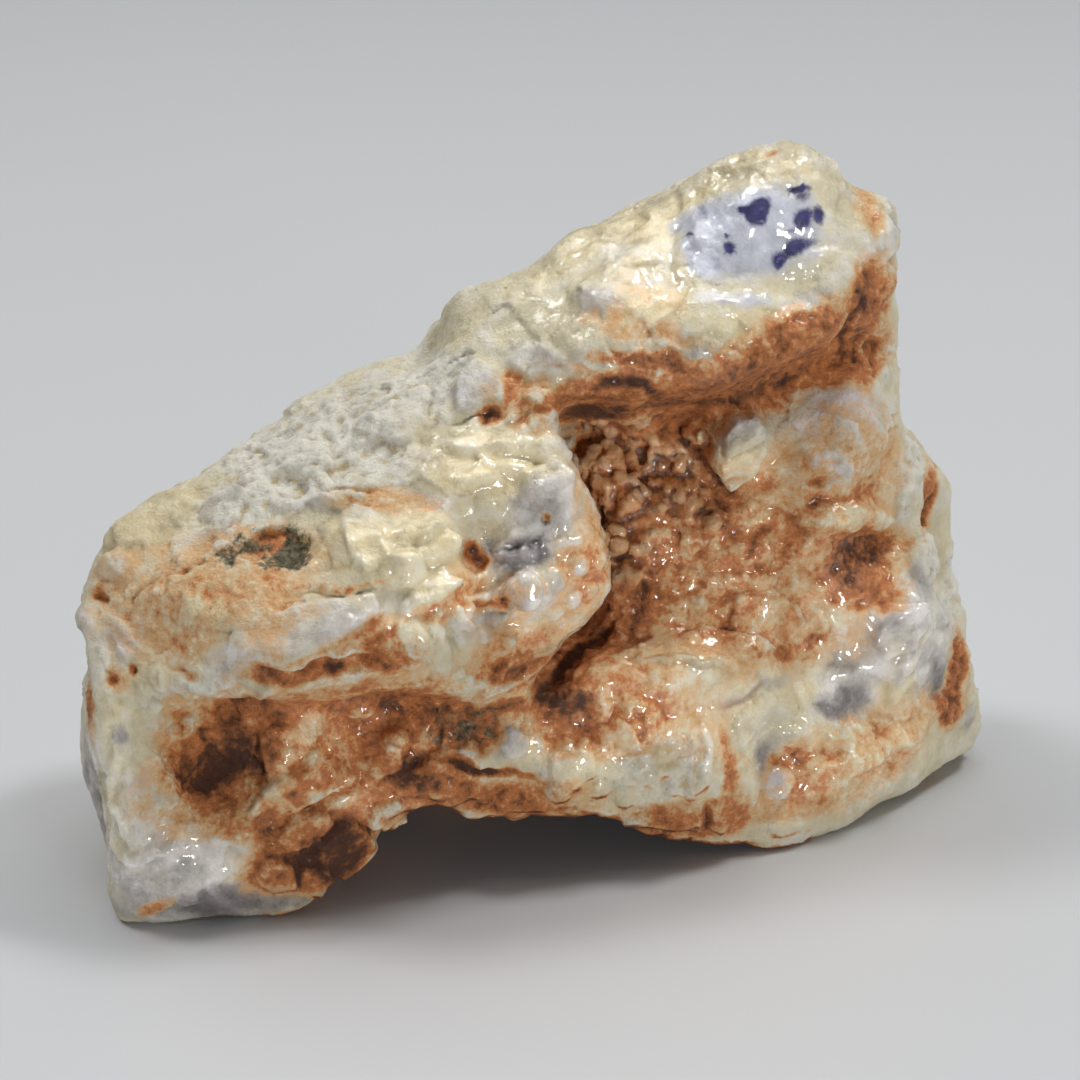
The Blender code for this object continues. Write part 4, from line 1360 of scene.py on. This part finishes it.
def opal_material(settings):
    """Wet, milky opal with chalk, rust and violet in it, and with painted shade and light in its colour."""
    make = Layers("opal")
    cream, white, yellow = tuple(settings.cream), tuple(settings.white), tuple(settings.yellow)
    grey, milk, tan = tuple(settings.grey), tuple(settings.milk), tuple(settings.tan)
    rust, umber_and_shade, flame = tuple(settings.rust), tuple(settings.umber_and_shade), tuple(settings.flame)
    moss, smoke_and_shade, violet = tuple(settings.moss), tuple(settings.smoke_and_shade), tuple(settings.violet)
    amount = {kind: make.amount(kind) for kind in MINERALS}
    make.sunk = make.amount("sunk")
    deep = make.amount("deep")

    plain = make.grain(260, 2.6, 0.5, detail=9, roughness=0.64)
    make.colour = make.tones(plain, (0.1, tint(cream, 0.86)), (0.45, cream), (0.9, white))
    # Chalk is white crust; its tooth and belly low marks are painted light.
    chalk = make.edge(amount["chalk"], 300, 2.4, 0.3)
    crust = make.grain(700, 3.2, 0.9, detail=9, roughness=0.72)
    make.lay(make.tones(crust, (0.05, tint(yellow, 0.85)), (0.3, tint(white, 0.86)), (0.8, tint(white, 1.06))), chalk)
    ochre = make.edge(amount["ochre"], 160, 2.2, 0.5)
    wax = make.grain(240, 2.8, 0.8, detail=8)
    make.lay(make.tones(wax, (0.1, tint(yellow, 0.72)), (0.5, yellow), (0.9, tint(cream, 1.08))), make.share(ochre, 0.85))
    glassy = make.edge(amount["grey"], 180, 2.0, 0.45)
    glass = make.grain(260, 3.0, 0.6, detail=8)
    make.lay(make.tones(glass, (0.1, tint(grey, 0.66)), (0.5, grey), (0.9, tint(grey, 1.4))), make.share(glassy, 0.85))
    milky = make.edge(amount["milk"], 260, 0.9, 0.3)
    cloud = make.grain(200, 2.6, 0.4, detail=6)
    # Smoke is dark clear opal, and in its toe, crag, striated and pearl marks painted shade.
    smoky = make.edge(amount["smoke_and_shade"], 300, 1.8, 0.45)
    make.lay(make.tones(glass, (0.2, tint(smoke_and_shade, 0.6)), (0.5, smoke_and_shade), (0.9, tint(smoke_and_shade, 2.0))), make.share(smoky, 0.8))
    make.lay(make.tones(cloud, (0.1, tint(milk, 0.75)), (0.5, milk), (0.9, tint(milk, 1.35))), make.share(milky, 0.94))

    # Umber takes the iron to its darkest tone; where umber marks shade, this is painted shade.
    iron = make.math("MAXIMUM", make.share(amount["tan"], 0.46), make.share(amount["rust"], 0.70))
    iron = make.math("MAXIMUM", iron, make.share(amount["umber_and_shade"], 1.02))
    there = make.math("MULTIPLY", iron, 3.0, True)
    cloudy = make.math("ADD", make.share(make.noise(150, detail=3), 0.5), make.share(make.noise(420, detail=7, roughness=0.62), 0.5))
    cloudy = make.math("SUBTRACT", cloudy, 0.5)
    seep = make.math("SUBTRACT", make.math("ADD", make.sunk, deep), 1.0)
    gritty = make.math("SUBTRACT", make.noise(1300, detail=6, roughness=0.75), 0.5)
    swing = make.math("ADD", make.share(cloudy, 1.7), make.math("ADD", make.share(gritty, 1.1), make.share(seep, 0.35)))
    iron = make.math("ADD", iron, make.math("MULTIPLY", swing, there))
    stops = (
        (0.0, cream), (0.14, tint(tan, 1.12)), (0.34, tan), (0.5, tint(rust, 1.45)), (0.68, rust),
        (0.86, tint(rust, 0.45)), (1.0, umber_and_shade),
    )
    make.lay(make.tones(iron, *stops), make.scale(iron, 0.0, 0.34))

    tips = make.math("MULTIPLY", make.scale(amount["lined"], 0.2, 0.6), make.scale(make.sunk, 0.62, 0.36))
    make.lay(make.tones(make.noise(420, detail=6), (0.35, tint(rust, 1.3)), (0.52, tan), (0.72, cream)), make.share(tips, 0.55))
    bright = make.edge(amount["flame"], 500, 3.0, 0.5)
    make.lay(flame, make.share(bright, 0.7))
    mossy = make.edge(amount["moss"], 800, 3.2, 0.35)
    make.lay(make.tones(make.noise(1500, detail=6), (0.4, moss), (0.75, tint(yellow, 0.4))), mossy)
    flecked = make.edge(amount["violet"], 500, 1.2, 0.3)
    make.lay(make.tones(make.noise(900, detail=5), (0.35, violet), (0.75, tint(violet, 3))), make.share(flecked, 0.97))
    specks = make.group(make.specks, Scale=900, Size=0.3, Patches=0.53)
    make.lay(tint(rust, 1.2), make.share(specks, 0.35))
    make.tree.links.new(make.colour, make.skin.inputs["Base Color"])

    film = make.edge(amount["wet"], 220, 2.0, 0.4)
    dry = make.math("MAXIMUM", make.share(chalk, 0.85), make.share(amount["umber_and_shade"], 0.7))
    film = make.math("MULTIPLY", film, make.math("SUBTRACT", 1.0, dry))
    matte = make.scale(make.noise(900, detail=5), 0.3, 0.7, 0.36, 0.7)
    glossy = make.scale(make.noise(700, detail=4), 0.35, 0.65, 0.07, 0.24)
    lean = make.tree.nodes.new("ShaderNodeMix")
    make.tree.links.new(film, lean.inputs["Factor"])
    make.tree.links.new(matte, lean.inputs["A"])
    make.tree.links.new(glossy, lean.inputs["B"])
    make.tree.links.new(lean.outputs["Result"], make.skin.inputs["Roughness"])
    make.tree.links.new(make.share(film, 0.9), make.skin.inputs["Coat Weight"])
    make.skin.inputs["Coat Roughness"].default_value = 0.06
    make.skin.inputs["IOR"].default_value = 1.45
    make.skin.inputs["Specular IOR Level"].default_value = 0.7

    ripples = make.noise(620, detail=3, roughness=0.5)
    grit = make.noise(1400, detail=7, roughness=0.75)
    dusty = make.math("SUBTRACT", 1.0, make.share(film, 0.8))
    relief = make.math("ADD", make.share(ripples, 0.55), make.math("MULTIPLY", grit, dusty))
    bump = make.tree.nodes.new("ShaderNodeBump")
    bump.inputs["Strength"].default_value = 1.0
    bump.inputs["Distance"].default_value = 0.6 * MM
    make.tree.links.new(relief, bump.inputs["Height"])
    make.tree.links.new(bump.outputs["Normal"], make.skin.inputs["Normal"])
    return make.material


def plain_material(name, colour, roughness):
    """A plain finish for the stage."""
    material = bpy.data.materials.new(name)
    material.use_nodes = True
    skin = material.node_tree.nodes["Principled BSDF"]
    skin.inputs["Base Color"].default_value = (*colour, 1)
    skin.inputs["Roughness"].default_value = roughness
    return material


class OPAL_OT_stone(bpy.types.Operator):
    """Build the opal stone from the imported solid"""

    bl_idname = "opal.stone"
    bl_label = "Opal Stone"
    bl_options = {"REGISTER", "UNDO"}

    def execute(self, context):
        settings = context.scene.opal_stone
        finish = opal_material(settings)
        stone = copy_of_solid("opal_specimen")
        modify(stone, "REMESH", mode="VOXEL", voxel_size=settings.core_grain)
        modify(stone, "SMOOTH", factor=0.5, iterations=settings.smoothing)
        tree = solid_tree(stone)
        points, normals = read(stone.data, "co"), read(stone.data, "normal")
        store(stone.data, "lined", lay_minerals(points, normals, tree, ["lined"])["lined"])
        grow_grains(stone, settings, finish)
        modify(stone, "REMESH", mode="VOXEL", voxel_size=settings.skin_grain)
        modify(stone, "SMOOTH", factor=0.5, iterations=1)
        sculpt(stone, tree)
        thin_out(stone, settings.faces)
        colour_in(stone, tree)
        stone.data.materials.clear()
        stone.data.materials.append(finish)
        stone.data.polygons.foreach_set("use_smooth", [True] * len(stone.data.polygons))
        stone.data.polygons.foreach_set("material_index", [0] * len(stone.data.polygons))
        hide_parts("opal_stone")
        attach(stone, "root")
        print("opal_specimen:", len(stone.data.polygons), "faces")
        return {"FINISHED"}


class OPAL_OT_stage(bpy.types.Operator):
    """Lay the floor, set the lights and place the camera"""

    bl_idname = "opal.stage"
    bl_label = "Stage"
    bl_options = {"REGISTER", "UNDO"}

    def execute(self, context):
        settings = context.scene.opal_stage
        scene = context.scene
        mesh = bpy.data.meshes.new("floor")
        mesh.from_pydata([(-3, -3, 0), (3, -3, 0), (3, 3, 0), (-3, 3, 0)], [], [(0, 1, 2, 3)])
        mesh.materials.append(plain_material("floor", settings.floor, 0.45))
        floor = bpy.data.objects.new("floor", mesh)
        scene.collection.objects.link(floor)

        self.light("key light", (0.55, 0.15, 1.05), 0.24, settings.key)
        self.light("left light", (-0.55, 0.1, 1.05), 0.3, settings.left)
        self.light("roof light", (0.0, 0.3, 1.3), 1.3, settings.roof)
        self.light("front light", (0.42, -0.86, 0.075), 0.14, settings.front)

        world = bpy.data.worlds.new("studio")
        world.use_nodes = True
        world.node_tree.nodes["Background"].inputs["Color"].default_value = (0.93, 0.96, 1.0, 1)
        world.node_tree.nodes["Background"].inputs["Strength"].default_value = settings.sky
        scene.world = world
        scene.view_settings.view_transform = "Standard"

        eye = bpy.data.cameras.new("camera")
        eye.sensor_width = 36
        eye.lens = 36 * LENS / PICTURE
        eye.clip_start = 0.01
        camera = bpy.data.objects.new("camera", eye)
        camera.location = EYE
        camera.rotation_euler = (math.pi / 2 - TILT, 0, 0)
        scene.collection.objects.link(camera)
        scene.camera = camera
        return {"FINISHED"}

    @staticmethod
    def light(name, place, size, power):
        """A square soft light aimed at the stone."""
        data = bpy.data.lights.new(name, "AREA")
        data.size = size
        data.energy = power
        lamp = bpy.data.objects.new(name, data)
        lamp.location = place
        lamp.rotation_euler = (Vector(place) - AIM).to_track_quat("Z", "Y").to_euler()
        bpy.context.scene.collection.objects.link(lamp)


class OPAL_PT_panel(bpy.types.Panel):
    """Sizes and colours of the opal specimen"""

    bl_idname = "OPAL_PT_panel"
    bl_label = "Opal Specimen"
    bl_space_type = "VIEW_3D"
    bl_region_type = "UI"
    bl_category = "Opal"

    def draw(self, context):
        layout = self.layout
        for settings, operator in (("opal_stone", "opal.stone"), ("opal_stage", "opal.stage")):
            box = layout.box()
            group = getattr(context.scene, settings)
            for name in group.__annotations__:
                box.prop(group, name)
            box.operator(operator)


CLASSES = (StoneSettings, StageSettings, OPAL_OT_stone, OPAL_OT_stage, OPAL_PT_panel)


def register():
    for cls in CLASSES:
        bpy.utils.register_class(cls)
    bpy.types.Scene.opal_stone = PointerProperty(type=StoneSettings)
    bpy.types.Scene.opal_stage = PointerProperty(type=StageSettings)


def unregister():
    del bpy.types.Scene.opal_stage
    del bpy.types.Scene.opal_stone
    for cls in reversed(CLASSES):
        bpy.utils.unregister_class(cls)


def main():
    register()
    bpy.ops.opal.stone()
    bpy.ops.opal.stage()


if __name__ == "__main__":
    main()
